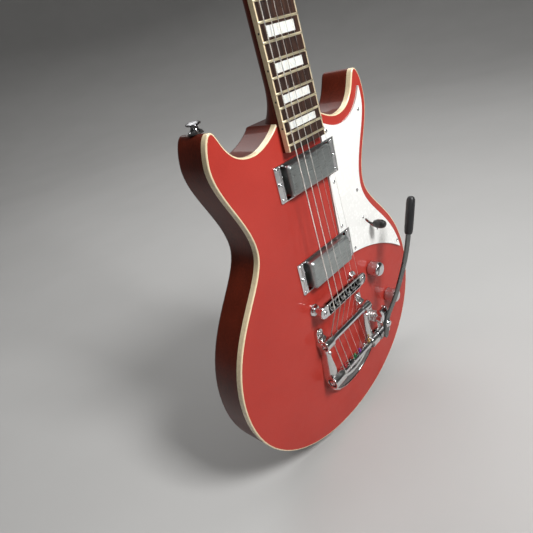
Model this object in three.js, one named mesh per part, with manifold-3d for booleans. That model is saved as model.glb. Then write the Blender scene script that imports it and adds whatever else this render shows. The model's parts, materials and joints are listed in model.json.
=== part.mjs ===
// A double-cutaway electric guitar with a horseshoe vibrato, in millimetres.
//
// +Z runs up the strings to the headstock, the front faces -Y and +X is the treble side. The
// origin is on the flat back, on the centre line, level with the bridge. Every helper below takes
// heights: distances from a plane towards the front, so that a height h lies at y = -h.

import * as THREE from "three";
import { mergeVertices } from "three/addons/utils/BufferGeometryUtils.js";
import Module from "manifold-3d";

const wasm = await Module();
wasm.setup();

const { cos, sin, hypot, PI } = Math;
const degrees = THREE.MathUtils.degToRad;

// Driving dimensions.
const bodyThickness = 42;
const capThickness = 6.5;
const bindingWidth = 1.5;
const backRounding = 5;
const fitGap = 0.3;

const tailEnd = -182.5;
const neckJoint = { halfWidth: 28.5, z: 197 };
const bassSide = {
  bout: [161, -50],
  waist: [91.5, 98],
  horn: [117, 184],
  tip: [105, 213],
  cutaway: [64, 181],
  shoulder: 10,
};
const trebleSide = {
  bout: [163, -44],
  waist: [93, 99],
  horn: [119.5, 183],
  tip: [106.5, 217],
  cutaway: [64.5, 180.5],
  shoulder: 18,
};

const scaleLength = 628;
const fretCount = 22;
const neckPitch = degrees(2.5);
const boardRise = 9.3;
const boardThickness = 6;
const boardEndPastFrets = 6;
const boardHalfWidth = { body: 28.25, nut: 21.7 };
const nutLength = 3.8;
const headPitch = degrees(13);
const headThickness = 15;
const headFaceDepth = 5;

const stringGauges = [1.17, 0.91, 0.66, 0.43, 0.33, 0.25];
const bridgeSpacing = 10.4;
const nutSpacing = 7;
const stringHeight = { bridge: 20.9, nut: 2 };

const pickupPlaces = { neck: { z: 143.5, top: 9 }, bridge: { z: 39.2, top: 10.5 } };
const ring = { length: 93.7, width: 36.4, thickness: 1.6, holeLength: 79, holeWidth: 32.4 };
const cover = { length: 68.5, width: 31.4, wall: 1 };
const pickupDepth = 12;

const bridge = { z: -3, postX: 37, top: 17, low: 11, halfDepth: 7.2 };
const bridgeChannel = { halfDepth: 5.6, halfLength: 31 };
const bridgeWing = { low: 12.6, top: 16.6 };
const saddleTravel = 2;
const saddleOffsets = [-0.8, -0.4, 0.1, -0.6, -0.1, 0.5];

const roller = { z: -45, height: 11, radius: 4, halfLength: 32.6 };
const shaft = { z: -96, height: 12.5, radius: 4.5 };
const arm = { x: 57, z: -77, lean: degrees(21), low: 25.5, width: 9.5, thickness: 2.6 };
const springPlace = { x: 53.3, z: -68, low: 5.3, high: 18.6, radius: 6, wire: 0.9, turns: 4 };

const volume = [77.9, -13.9];
const tone = [106, -70];
const switchPlace = { x: 90, z: 42.5, lean: degrees(47), slotLength: 26, slotWidth: 3.4, pivotDepth: 18 };
const jackZ = -60;
const guard = { inset: 10.5, thickness: 2.4, left: 29.2, arcCentre: [18.3, -187.8], arcRadius: 213.7 };

const tunerRows = [40, 78, 116];
const tunerX = 25;
const postRadius = 3;

// Solids: every shape becomes a manifold solid and back, so that each mesh is one closed body.
function toSolid(geometry) {
  const bare = new THREE.BufferGeometry();
  bare.setAttribute("position", geometry.getAttribute("position").clone());
  if (geometry.index) bare.setIndex(geometry.index.clone());
  const merged = mergeVertices(bare, 1e-4);
  const corners = Array.from(merged.index.array);
  const faces = [];
  for (let i = 0; i < corners.length; i += 3) {
    const [a, b, c] = corners.slice(i, i + 3);
    if (a !== b && b !== c && c !== a) faces.push(a, b, c);
  }
  const vertProperties = new Float32Array(merged.getAttribute("position").array);
  if (signedVolume(vertProperties, faces) < 0) faces.reverse();
  const triVerts = Uint32Array.from(faces);
  return new wasm.Manifold(new wasm.Mesh({ numProp: 3, vertProperties, triVerts }));
}

function signedVolume(points, faces) {
  const corner = (i) => new THREE.Vector3().fromArray(points, 3 * faces[i]);
  let volumeTimesSix = 0;
  for (let i = 0; i < faces.length; i += 3) {
    volumeTimesSix += corner(i).dot(corner(i + 1).cross(corner(i + 2)));
  }
  return volumeTimesSix;
}

const asSolid = (shape) => (shape.isBufferGeometry ? toSolid(shape) : shape);
const join = (first, ...others) => others.reduce((sum, other) => sum.add(asSolid(other)), asSolid(first));
const cut = (first, ...tools) => tools.reduce((rest, tool) => rest.subtract(asSolid(tool)), asSolid(first));
const overlap = (first, second) => asSolid(first).intersect(asSolid(second));

function toGeometry(shape) {
  const mesh = asSolid(shape).getMesh();
  const geometry = new THREE.BufferGeometry();
  geometry.setAttribute("position", new THREE.BufferAttribute(new Float32Array(mesh.vertProperties), 3));
  geometry.setIndex(Array.from(mesh.triVerts));
  geometry.computeVertexNormals();
  return geometry;
}

// Shapes, all with heights towards the front.
function box(x0, x1, low, high, z0, z1) {
  const middle = [(x0 + x1) / 2, -(low + high) / 2, (z0 + z1) / 2];
  return new THREE.BoxGeometry(x1 - x0, high - low, z1 - z0).translate(...middle);
}

function slab(points, low, high) {
  const shape = new THREE.Shape(points.map(([x, z]) => new THREE.Vector2(x, z)));
  const upright = new THREE.ExtrudeGeometry(shape, { depth: high - low, bevelEnabled: false });
  return upright.rotateX(PI / 2).translate(0, -low, 0);
}

function peg(radius, low, high, [x, z], sides = 24) {
  return new THREE.CylinderGeometry(radius, radius, high - low, sides).translate(x, -(low + high) / 2, z);
}

function barrel(radius, x0, x1, height, z, sides = 20) {
  const along = new THREE.CylinderGeometry(radius, radius, x1 - x0, sides).rotateZ(PI / 2);
  return along.translate((x0 + x1) / 2, -height, z);
}

// A turned piece: the profile is [radius, distance along the axis], starting at the origin.
const turnedTowards = { front: PI, up: PI / 2, down: -PI / 2 };
function turned(profile, towards, sides = 20) {
  const points = profile.map(([radius, along]) => new THREE.Vector2(radius, along));
  return new THREE.LatheGeometry(points, sides).rotateX(turnedTowards[towards]);
}

// A side view of [z, height] points, extruded across the guitar.
function sideSlab(points, x0, x1) {
  const shape = new THREE.Shape(points.map(([z, height]) => new THREE.Vector2(z, height)));
  const across = new THREE.ExtrudeGeometry(shape, { depth: x1 - x0, bevelEnabled: false });
  const turn = new THREE.Matrix4().set(0, 0, 1, x0, 0, -1, 0, 0, 1, 0, 0, 0, 0, 0, 0, 1);
  return across.applyMatrix4(turn);
}

// A closed solid through matching rings of points. A ring that is not convex brings its own caps.
function loft(rings, capFaces) {
  const sides = rings[0].length;
  const index = [];
  for (let r = 0; r + 1 < rings.length; r += 1) {
    for (let i = 0; i < sides; i += 1) {
      const a = r * sides + i;
      const b = r * sides + ((i + 1) % sides);
      index.push(a, b, b + sides, a, b + sides, a + sides);
    }
  }
  const last = (rings.length - 1) * sides;
  const fan = Array.from({ length: sides - 2 }, (_, i) => [0, i + 1, i + 2]);
  for (const [a, b, c] of capFaces ?? fan) {
    index.push(a, c, b, last + a, last + b, last + c);
  }
  const geometry = new THREE.BufferGeometry();
  const places = rings.flat().flatMap((point) => point.toArray());
  geometry.setAttribute("position", new THREE.Float32BufferAttribute(places, 3));
  return geometry.setIndex(index);
}

// A route that an extrusion follows exactly through its points.
class Route extends THREE.Curve {
  constructor(points) {
    super();
    this.points = points;
  }

  at(u) {
    return Math.round(u * (this.points.length - 1));
  }

  getPoint(u) {
    return this.points[this.at(u)].clone();
  }

  getPointAt(u) {
    return this.getPoint(u);
  }

  getTangentAt(u) {
    const here = this.at(u);
    const before = this.points[Math.max(here - 1, 0)];
    const after = this.points[Math.min(here + 1, this.points.length - 1)];
    return after.clone().sub(before).normalize();
  }
}

function tube(points, radius, sides = 6) {
  const section = Array.from({ length: sides }, (_, i) => {
    const angle = (2 * PI * i) / sides;
    return new THREE.Vector2(radius * cos(angle), radius * sin(angle));
  });
  const route = new Route(points);
  const settings = { extrudePath: route, steps: points.length - 1 };
  return new THREE.ExtrudeGeometry(new THREE.Shape(section), settings);
}

const place = (x, height, z) => new THREE.Vector3(x, -height, z);
const mirrored = (points) => points.map(([x, z]) => [-x, z]).reverse();

// The part and its frames.
const guitar = new THREE.Group();
const front = new THREE.Group();
front.position.y = -bodyThickness;
const fretAt = (number) => scaleLength * 2 ** (-number / 12);
const boardFrame = new THREE.Group();
boardFrame.position.set(0, -(bodyThickness + boardRise), fretAt(fretCount));
boardFrame.rotation.x = -neckPitch;
const nutAt = scaleLength - fretAt(fretCount);
const headFrame = new THREE.Group();
headFrame.position.set(0, headFaceDepth, nutAt + nutLength);
headFrame.rotation.x = -headPitch;
const armFrame = new THREE.Group();
armFrame.position.set(arm.x, 0, arm.z);
armFrame.rotation.y = arm.lean;
boardFrame.add(headFrame);
front.add(armFrame);
guitar.add(front, boardFrame);
guitar.updateMatrixWorld(true);

const finishes = {
  mahogany: { color: "#4a1a10", roughness: 0.2, metalness: 0 },
  coral: { color: "#c5483c", roughness: 0.08, metalness: 0 },
  cream: { color: "#efe3c2", roughness: 0.25, metalness: 0 },
  rosewood: { color: "#3a2a24", roughness: 0.55, metalness: 0 },
  white: { color: "#f4f2ec", roughness: 0.25, metalness: 0 },
  chrome: { color: "#d8d8d8", roughness: 0.08, metalness: 1 },
  brushed: { color: "#8a8e8c", roughness: 0.35, metalness: 1 },
  black: { color: "#161616", roughness: 0.45, metalness: 0 },
  steel: { color: "#9a9a98", roughness: 0.3, metalness: 1 },
  brass: { color: "#b08a4a", roughness: 0.35, metalness: 1 },
};

function add(frame, name, shape, finish) {
  const mesh = new THREE.Mesh(toGeometry(shape), new THREE.MeshStandardMaterial(finishes[finish]));
  mesh.name = name;
  frame.add(mesh);
}

// Body: a rounded back, a cap inside a binding strip, and the pockets that they share.
function sideCurve({ bout, waist, horn, tip, cutaway, shoulder }) {
  const joint = [neckJoint.halfWidth, neckJoint.z];
  const curves = [
    [[0, tailEnd], [91, tailEnd], [bout[0], bout[1] - 80], bout],
    [bout, [bout[0], bout[1] + 82], [waist[0], waist[1] - 36], waist],
    [waist, [waist[0], waist[1] + 29], [horn[0], horn[1] - 26], horn],
    [horn, [horn[0], horn[1] + shoulder], [tip[0] + 7, tip[1]], tip],
    [tip, [tip[0] - 9, tip[1]], [cutaway[0] + 36, cutaway[1]], cutaway],
    [cutaway, [cutaway[0] - 13, cutaway[1]], [joint[0] + 4, joint[1] - 5], joint],
  ];
  const steps = [7, 8, 6, 5, 6, 4];
  return curves.flatMap((corners, i) => {
    const curve = new THREE.CubicBezierCurve(...corners.map(([x, z]) => new THREE.Vector2(x, z)));
    return curve.getPoints(steps[i]).slice(0, -1).map((point) => point.toArray());
  }).concat([joint]);
}

const bodyOutline = [...sideCurve(trebleSide), ...mirrored(sideCurve(bassSide)).slice(0, -1)];

function movedIn(inset) {
  const count = bodyOutline.length;
  return bodyOutline.map(([x, z], i) => {
    const [x0, z0] = bodyOutline[(i + count - 1) % count];
    const [x1, z1] = bodyOutline[(i + 1) % count];
    const length = hypot(x1 - x0, z1 - z0);
    return [x - (inset * (z1 - z0)) / length, z + (inset * (x1 - x0)) / length];
  });
}

// Points that would fall nearer to another stretch of the outline are left out.
function insetOutline(inset) {
  const clearance = ([x, z]) => Math.min(...bodyOutline.map(([ox, oz]) => hypot(x - ox, z - oz)));
  return movedIn(inset).filter((point) => clearance(point) > 0.97 * inset);
}

function roundedBack(top) {
  const arc = [0, 30, 60, 90].map(degrees);
  const ringAt = (inset, height) => movedIn(inset).map(([x, z]) => place(x, height, z));
  const rings = arc.map((angle) => {
    return ringAt(backRounding * (1 - sin(angle)), backRounding * (1 - cos(angle)));
  });
  const flat = bodyOutline.map(([x, z]) => new THREE.Vector2(x, z));
  return loft([...rings, ringAt(0, top)], THREE.ShapeUtils.triangulateShape(flat, []));
}

const tenon = { halfWidth: 24, low: 12, z: 170.5 };
function tenonBlock(gap) {
  const rise = bodyThickness + boardRise - boardThickness;
  const wide = tenon.halfWidth + gap;
  return box(-wide, wide, tenon.low - gap, rise, tenon.z - gap, neckJoint.z + 5);
}

function capsule([xa, za], [xb, zb], radius, steps = 8) {
  const heading = Math.atan2(zb - za, xb - xa);
  const halfTurn = (x, z, start) => Array.from({ length: steps + 1 }, (_, i) => {
    const angle = start + (PI * i) / steps;
    return [x + radius * cos(angle), z + radius * sin(angle)];
  });
  return [...halfTurn(xb, zb, heading - PI / 2), ...halfTurn(xa, za, heading + PI / 2)];
}

function switchFrameBox(halfLength, halfWidth, low, high) {
  const block = box(-halfLength, halfLength, low, high, -halfWidth, halfWidth);
  return block.rotateY(switchPlace.lean).translate(switchPlace.x, 0, switchPlace.z);
}

function pockets() {
  const deep = bodyThickness - 26;
  const above = bodyThickness + 1;
  const routs = Object.values(pickupPlaces).map(({ z }) => box(-43, 43, deep, above, z - 16.9, z + 16.9));
  const bushings = [-1, 1].map((side) => peg(5.3, deep, above, [side * bridge.postX, bridge.z], 16));
  const shafts = [volume, tone].map((spot) => peg(5, 20, above, spot, 16));
  return [...routs, ...bushings, ...shafts, switchFrameBox(24, 7, deep, above), tenonBlock(fitGap)];
}

function buildBody() {
  const capLow = bodyThickness - capThickness;
  const wood = roundedBack(capLow);
  const controls = slab(capsule(volume, tone, 17), -1, 31);
  const coverSeat = slab(capsule(volume, tone, 23 + fitGap), -1, 2 + fitGap);
  const jackHole = join(barrel(8.6, 118, 175, 21, jackZ, 16), barrel(10.8, 157, 175, 21, jackZ, 20));
  const screwHole = () => new THREE.CylinderGeometry(2.3, 2.3, 40, 8).rotateX(PI / 2);
  const hornScrew = screwHole().translate(-102.5, -bodyThickness / 2, 200);
  const tailScrew = screwHole().translate(0, -bodyThickness / 2, tailEnd + 5);
  const bores = [controls, coverSeat, jackHole, hornScrew, tailScrew];
  add(guitar, "body_back", cut(wood, ...bores, ...pockets()), "mahogany");
  const cap = slab(insetOutline(bindingWidth + 0.1), capLow + fitGap / 2, bodyThickness);
  add(guitar, "body_top", cut(cap, ...pockets()), "coral");
  const edge = slab(bodyOutline, capLow + fitGap / 2, bodyThickness);
  const strip = cut(edge, slab(insetOutline(bindingWidth), 0, bodyThickness + 1));
  add(guitar, "body_binding", cut(strip, tenonBlock(fitGap), box(-28, 28, 0, 60, 190, 210)), "cream");
  add(guitar, "control_cover", slab(capsule(volume, tone, 23), 0, 2), "black");
}

// Neck: a D-shaped loft that sweeps into the heel, a tenon, and the pitched headstock.
function neckRing(z, halfWidth, depth) {
  const steps = 10;
  const curve = Array.from({ length: steps + 1 }, (_, i) => {
    const angle = (PI * i) / steps;
    const fullness = sin(angle) ** 0.8;
    return place(halfWidth * cos(angle), -boardThickness - 0.2 - depth * fullness, z);
  });
  return curve;
}

function neckDepth(z) {
  const slender = 12.6 + 3.4 * (1 - z / nutAt);
  const heelTop = 59;
  const heelLength = 43;
  const rise = Math.max(0, (heelTop - z) / heelLength);
  return slender + 24 * rise ** 2.3;
}

function headOutline() {
  const curve = new THREE.Shape();
  curve.moveTo(21.5, 0);
  curve.bezierCurveTo(22, 14, 37, 18, 37, 42);
  curve.lineTo(34, 150);
  curve.bezierCurveTo(34, 165, 22, 172, 0, 172);
  const treble = curve.getPoints(6).map((point) => point.toArray());
  return [...treble, ...mirrored(treble).slice(1)];
}

function buildNeck() {
  const widthAt = (z) => boardHalfWidth.body + ((boardHalfWidth.nut - boardHalfWidth.body) * z) / nutAt;
  const stations = [12, 20, 26, 33, 41, 50, 60, 110, 220, 340, nutAt - 10, nutAt + nutLength];
  const shaftLoft = loft(stations.map((z) => neckRing(z, widthAt(z), neckDepth(z))));
  const boardToWorld = boardFrame.matrixWorld;
  const worldToBoard = boardToWorld.clone().invert();
  const bodyRoom = box(-60, 60, -20, bodyThickness + fitGap, 0, neckJoint.z + fitGap);
  const bodyBlock = bodyRoom.applyMatrix4(worldToBoard);
  const wide = boardHalfWidth.body;
  const overhang = box(-wide, wide, -12, -boardThickness - 0.2, -boardEndPastFrets, 25);
  const tenonWood = tenonBlock(0).applyMatrix4(worldToBoard);
  const aboveBoard = box(-60, 60, -boardThickness - 0.2, 40, -60, nutAt + nutLength);
  const headToBoard = headFrame.matrix;
  const head = slab(headOutline(), -headThickness, 0).applyMatrix4(headToBoard);
  const postHoles = tunerSpots().map(({ x, z }) => peg(4.4, -40, 10, [x, z], 16).applyMatrix4(headToBoard));
  const rodSlot = box(-3.3, 3.3, -boardThickness - 9.6, 0, 40, nutAt - 20);
  const blank = join(cut(join(shaftLoft, overhang), bodyBlock), cut(tenonWood, aboveBoard), head);
  add(boardFrame, "neck", cut(blank, rodSlot, ...postHoles), "mahogany");
  const rod = box(-3, 3, -boardThickness - 9.3, -boardThickness - 0.6, 40.3, nutAt - 20.3);
  add(boardFrame, "truss_rod", rod, "steel");
  const board = slab([
    [widthAt(0), -boardEndPastFrets], [widthAt(nutAt), nutAt - fitGap],
    [-widthAt(nutAt), nutAt - fitGap], [-widthAt(0), -boardEndPastFrets],
  ], -boardThickness, 0);
  const frets = Array.from({ length: fretCount }, (_, i) => {
    const z = fretAt(i + 1) - fretAt(fretCount);
    return box(-widthAt(z), widthAt(z), -0.5, 0.9, z - 1.1, z + 1.1);
  });
  add(boardFrame, "fretboard", join(board, ...frets), "rosewood");
  const nutWide = boardHalfWidth.nut;
  add(boardFrame, "nut", box(-nutWide, nutWide, -boardThickness, 1, nutAt, nutAt + nutLength - 0.7), "cream");
}

// Pickguard: the body's outline moved in, open to the strings, the pickups and the switch.
function buildGuard() {
  const [centreX, centreZ] = guard.arcCentre;
  const arc = Array.from({ length: 13 }, (_, i) => {
    const x = guard.left + (170 - guard.left) * (i / 12);
    return [x, centreZ + Math.sqrt(guard.arcRadius ** 2 - (x - centreX) ** 2)];
  });
  const region = slab([...arc, [170, 230], [guard.left, 230]], -1, 10);
  const plate = slab(insetOutline(guard.inset), 0.15, 0.15 + guard.thickness);
  const rings = Object.values(pickupPlaces).map(({ z }) => {
    const halfWide = ring.width / 2 + 0.4;
    const halfLong = ring.length / 2 + 0.4;
    return box(-halfLong, halfLong, -1, 10, z - halfWide, z + halfWide);
  });
  const slot = switchFrameBox(switchPlace.slotLength / 2, switchPlace.slotWidth / 2, -1, 10);
  add(front, "pickguard", cut(overlap(plate, region), ...rings, slot), "white");
}

function buildPickup(name, { z, top }) {
  const halfLong = ring.length / 2;
  const halfWide = ring.width / 2;
  const [holeLong, holeWide] = [ring.holeLength / 2, ring.holeWidth / 2];
  const hole = box(-holeLong, holeLong, -5, 5, z - holeWide, z + holeWide);
  const flange = box(-halfLong, halfLong, 0.1, ring.thickness, z - halfWide, z + halfWide);
  add(front, `pickup_ring_${name}`, cut(flange, hole), "chrome");
  const [long, wide, wall] = [cover.length / 2, cover.width / 2, cover.wall];
  const shellFrom = (gap, low) => {
    return box(-long + gap, long - gap, low, top - gap, z - wide + gap, z + wide - gap);
  };
  const shell = cut(shellFrom(0, -pickupDepth), shellFrom(wall, -pickupDepth - 1));
  add(front, `pickup_cover_${name}`, shell, "brushed");
  const coils = shellFrom(wall + fitGap, -pickupDepth);
  const plate = box(-42, 42, -pickupDepth - 2, -pickupDepth - fitGap, z - 8, z + 8);
  const stem = box(-long + 4, long - 4, -pickupDepth - 2, -pickupDepth + 1, z - 6, z + 6);
  add(front, `pickup_coils_${name}`, join(coils, plate, stem), "black");
}

// Bridge: a channel body on two posts, with a saddle for each string.
const stringX = (number, spacing) => (number - 2.5) * spacing;

function buildBridge() {
  const { z, postX, halfDepth } = bridge;
  const wings = slab(capsule([-postX, z], [postX, z], halfDepth), bridgeWing.low, bridgeWing.top);
  const middle = box(-32.5, 32.5, bridge.low, bridge.top, z - halfDepth, z + halfDepth);
  const { halfDepth: depth, halfLength: long } = bridgeChannel;
  const channel = box(-long, long, bridge.low + 1.6, 30, z - depth, z + depth);
  const holes = [-1, 1].map((side) => peg(3.4, 0, 30, [side * postX, z], 16));
  add(front, "bridge_body", cut(join(wings, middle), channel, ...holes), "chrome");
  const bushing = [[0, -24], [5, -24], [5, 0.1], [7.2, 0.1], [7.2, 2.6], [3, 3.4]];
  const wheel = [[3, 10.6], [4.2, 10.6], [4.2, 12.3], [3, 12.3]];
  const profile = [...bushing, ...wheel, [3, 17.2], [0, 17.2]];
  for (const [name, side] of [["bass", -1], ["treble", 1]]) {
    add(front, `bridge_post_${name}`, turned(profile, "front", 16).translate(side * postX, 0, z), "chrome");
  }
  const floor = bridge.low + 1.6 + fitGap;
  for (let number = 0; number < 6; number += 1) {
    const crestZ = z + saddleOffsets[number];
    const x = stringX(number, bridgeSpacing);
    const crest = [[crestZ + 2, 17.4], [crestZ + 0.3, 20], [crestZ - 0.3, 20], [crestZ - 2, 17.4]];
    const side = [[crestZ - 2, floor], [crestZ + 2, floor], ...crest];
    add(front, `saddle_${number + 1}`, sideSlab(side, x - 3.8, x + 3.8), "chrome");
  }
}

// Vibrato: a domed horseshoe whose arms carry the roller, with the string shaft across it.
function horseshoeRings() {
  const inner = { x: 33, z: -84, reach: 25 };
  const outer = { x: 46, z: -100, reach: 34 };
  const ringAt = (inX, inZ, outX, outZ, heights) => {
    const across = (share, height) => place(inX + (outX - inX) * share, height, inZ + (outZ - inZ) * share);
    const crown = heights.map((height, i) => across(i / (heights.length - 1), height));
    return [across(0, fitGap), ...crown, across(1, fitGap)];
  };
  const armStations = [
    [-27, [1.5, 2.4, 1.5]],
    [-35, [3.5, 5, 3]],
    [-41, [8, 10, 6]],
    [-60, [11, 13, 9]],
    [-80, [11, 14, 9]],
  ];
  const rightArm = armStations.map(([z, heights]) => ringAt(inner.x, z, outer.x, z, heights));
  const leftArm = armStations.map(([z, heights]) => ringAt(-inner.x, z, -outer.x, z, heights)).reverse();
  const turns = Array.from({ length: 15 }, (_, i) => {
    const angle = (PI * i) / 14;
    const crest = 9 + 4.5 * cos(angle) ** 2;
    const heights = [crest - 2, crest, crest * (0.45 + 0.3 * cos(angle) ** 2)];
    return ringAt(
      inner.x * cos(angle), inner.z - inner.reach * sin(angle),
      outer.x * cos(angle), outer.z - outer.reach * sin(angle), heights,
    );
  });
  return [...rightArm, ...turns, ...leftArm];
}

function buildVibrato() {
  const rollerBearings = [[-45.5, -33], [33, 45.5]];
  const shaftBearings = [[-47, -29], [34, 47]];
  const bosses = [
    ...rollerBearings.map((span) => barrel(6.2, ...span, roller.height, roller.z)),
    ...shaftBearings.map((span) => barrel(8, ...span, shaft.height, shaft.z)),
  ];
  const padTop = springPlace.low - fitGap;
  const padLink = box(40, springPlace.x, fitGap, padTop, springPlace.z - 6, springPlace.z + 6);
  const shaftBore = barrel(shaft.radius + 0.4, -60, 60, shaft.height, shaft.z);
  const pinBore = barrel(2.8, -60, 60, roller.height, roller.z, 12);
  const rollerRoom = barrel(roller.radius + 0.5, -33, 33, roller.height, roller.z);
  const pad = peg(8.6, fitGap, padTop, [springPlace.x, springPlace.z]);
  const casting = join(loft(horseshoeRings()), ...bosses, pad, padLink);
  const frame = cut(casting, shaftBore, pinBore, rollerRoom);
  add(front, "vibrato_frame", frame, "chrome");
  const bar = barrel(roller.radius, -roller.halfLength, roller.halfLength, roller.height, roller.z);
  add(front, "vibrato_roller", join(bar, barrel(2.4, -44.5, 44.5, roller.height, roller.z, 12)), "chrome");
  const pins = Array.from({ length: 6 }, (_, number) => {
    const pin = new THREE.CylinderGeometry(1.1, 1.1, 9, 8).rotateX(PI / 2 + degrees(20));
    return pin.translate(stringX(number, bridgeSpacing) + 4.4, -shaft.height, shaft.z + 5);
  });
  const thick = barrel(shaft.radius, -46.5, 47.3, shaft.height, shaft.z);
  const thin = barrel(3.6, 40, 60, shaft.height, shaft.z);
  const rod = join(thick, thin, ...pins);
  add(front, "vibrato_shaft", rod, "chrome");
  const leverTop = [[-102, 13], [-98, 20], [-92, 25.2], [-57, 25.2]];
  const lever = [...leverTop, [-56, 20.5], [-60, 19.2], [-82, 19.2], [-90, 11]];
  const bracket = join(sideSlab(lever, 48.5, 63), barrel(7.4, 47.8, 58.5, shaft.height, shaft.z));
  add(front, "vibrato_arm_bracket", cut(bracket, barrel(3.9, 40, 70, shaft.height, shaft.z)), "chrome");
  const { radius, wire, turns, low, high } = springPlace;
  const stepsPerTurn = 9;
  const steps = turns * stepsPerTurn;
  const coil = Array.from({ length: steps + 1 }, (_, i) => {
    const angle = (2 * PI * i) / stepsPerTurn;
    const rise = low + wire + (i / steps) * (high - low - 2 * wire);
    return place(springPlace.x + radius * cos(angle), rise, springPlace.z + radius * sin(angle));
  });
  add(front, "vibrato_spring", tube(coil, wire), "steel");
  buildArm();
}

// The arm rises from its bolt and levels off: [distance from the bolt, height of its underside].
function buildArm() {
  const bend = [[-19, 0], [6, 0], [14, 2.1], [23, 4.9], [34, 8.3], [47, 11.3], [62, 14.3]];
  const profile = [...bend, [80, 17.3], [97, 19.1], [113, 19.7]];
  const rings = profile.map(([along, rise], i) => {
    const half = (arm.width / 2) * (i === 0 ? 0.6 : 1);
    const low = arm.low + rise;
    const high = low + arm.thickness;
    const corners = [[half, low], [-half, low], [-half, high], [half, high]];
    return corners.map(([x, height]) => place(x, height, along));
  });
  const boltHead = peg(4, arm.low + 1, arm.low + arm.thickness + 3, [0, 0], 12);
  add(armFrame, "vibrato_arm", join(loft(rings), boltHead), "steel");
  const gripHeight = arm.low + 19.7 + arm.thickness / 2;
  const grip = turned([[0, 0], [4, 0], [4.9, 3], [5.1, 22], [5.1, 38], [3.6, 42.5], [0, 44]], "up", 14);
  add(armFrame, "vibrato_arm_grip", grip.translate(0, -gripHeight, 113 + fitGap), "black");
}

// Controls.
function buildControls() {
  const skirt = [[0, 13], [3.6, 13], [3.6, 1.4], [9, 1.4], [9.2, 2.4], [8.9, 13.6]];
  const knob = [...skirt, [8.2, 15], [6, 16.3], [0, 17]];
  const pot = [[0, -24], [12, -24], [12, -12.5], [4.4, -12.5], [4.4, 0.9], [3, 0.9], [3, 12.4], [0, 12.4]];
  for (const [name, [x, z]] of [["volume", volume], ["tone", tone]]) {
    add(front, `knob_${name}`, turned(knob, "front", 24).translate(x, 0, z), "chrome");
    add(front, `pot_${name}`, turned(pot, "front", 16).translate(x, 0, z), "steel");
  }
  const housing = cut(switchFrameBox(21, 5.5, -24, -0.4), switchFrameBox(15, 2.2, -22.5, 5));
  add(front, "switch_housing", housing, "steel");
  const blade = switchFrameBox(2.3, 0.9, -switchPlace.pivotDepth - 2, 10);
  const tip = [[0, 8], [3.8, 8], [5.3, 12], [5.3, 18], [3.6, 22], [0, 22.6]];
  const knobTip = turned(tip, "front", 14).translate(switchPlace.x, 0, switchPlace.z);
  add(front, "switch_lever", join(blade, knobTip), "black");
  const socket = join(barrel(10.5, 157.5, 164.3, 21, jackZ), barrel(8.2, 120, 158, 21, jackZ, 16));
  add(guitar, "output_jack", cut(socket, barrel(3.6, 122, 170, 21, jackZ, 16)), "chrome");
  const stem = [[0, -20], [2, -20], [2, 0.2], [4.8, 0.2], [4.2, 3.2], [4.4, 5]];
  const button = [...stem, [7.2, 6.8], [7.2, 8.6], [5.6, 9.6], [0, 9.6]];
  add(guitar, "strap_button_horn", turned(button, "up", 16).translate(-102.5, -21, 213.2), "chrome");
  add(guitar, "strap_button_end", turned(button, "down", 16).translate(0, -21, tailEnd), "chrome");
}

// Tuners: three on a plate each side, a worm shaft and button turning each string post.
function tunerSpots() {
  const numberAt = (side, row) => (side < 0 ? row + 1 : 6 - row);
  return [-1, 1].flatMap((side) => tunerRows.map((z, row) => {
    return { side, z, x: side * tunerX, number: numberAt(side, row) };
  }));
}

function buildTuners() {
  const wormOffset = 8.4;
  const wormHeight = -20;
  const low = -headThickness - 2;
  for (const [name, side] of [["bass", -1], ["treble", 1]]) {
    const across = (a, b) => (side > 0 ? [a, b] : [-b, -a]);
    const plate = box(...across(17, 33), low, -headThickness - fitGap, 24, 132);
    const earAt = (span, z) => box(...across(...span), wormHeight - 3.6, low + 0.2, z - 3.4, z + 3.4);
    const earSpans = [[18, 19.6], [30.8, 32.4]];
    const ears = tunerRows.flatMap((z) => earSpans.map((span) => earAt(span, z - wormOffset)));
    const holes = tunerRows.map((z) => peg(3.5, -40, 10, [side * tunerX, z], 12));
    const bores = tunerRows.map((z) => barrel(2.3, -60, 60, wormHeight, z - wormOffset, 12));
    add(headFrame, `tuner_plate_${name}`, cut(join(plate, ...ears), ...holes, ...bores), "chrome");
  }
  for (const { side, z, x, number } of tunerSpots()) {
    const gear = [[0, -22], [5.6, -22], [5.6, -18], [postRadius, -18]];
    const post = [...gear, [postRadius, 17], [2.4, 17.6], [0, 17.6]];
    add(headFrame, `tuner_post_${number}`, turned(post, "front", 14).translate(x, 0, z), "chrome");
    const worm = barrel(2, side > 0 ? 17.6 : -44, side > 0 ? 44 : -17.6, wormHeight, z - wormOffset, 10);
    const ball = new THREE.SphereGeometry(1, 12, 8).scale(7.6, 4.6, 9);
    const oval = ball.translate(side * 49.6, -wormHeight, z - wormOffset);
    add(headFrame, `tuner_button_${number}`, join(worm, oval), "chrome");
  }
}

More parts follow.
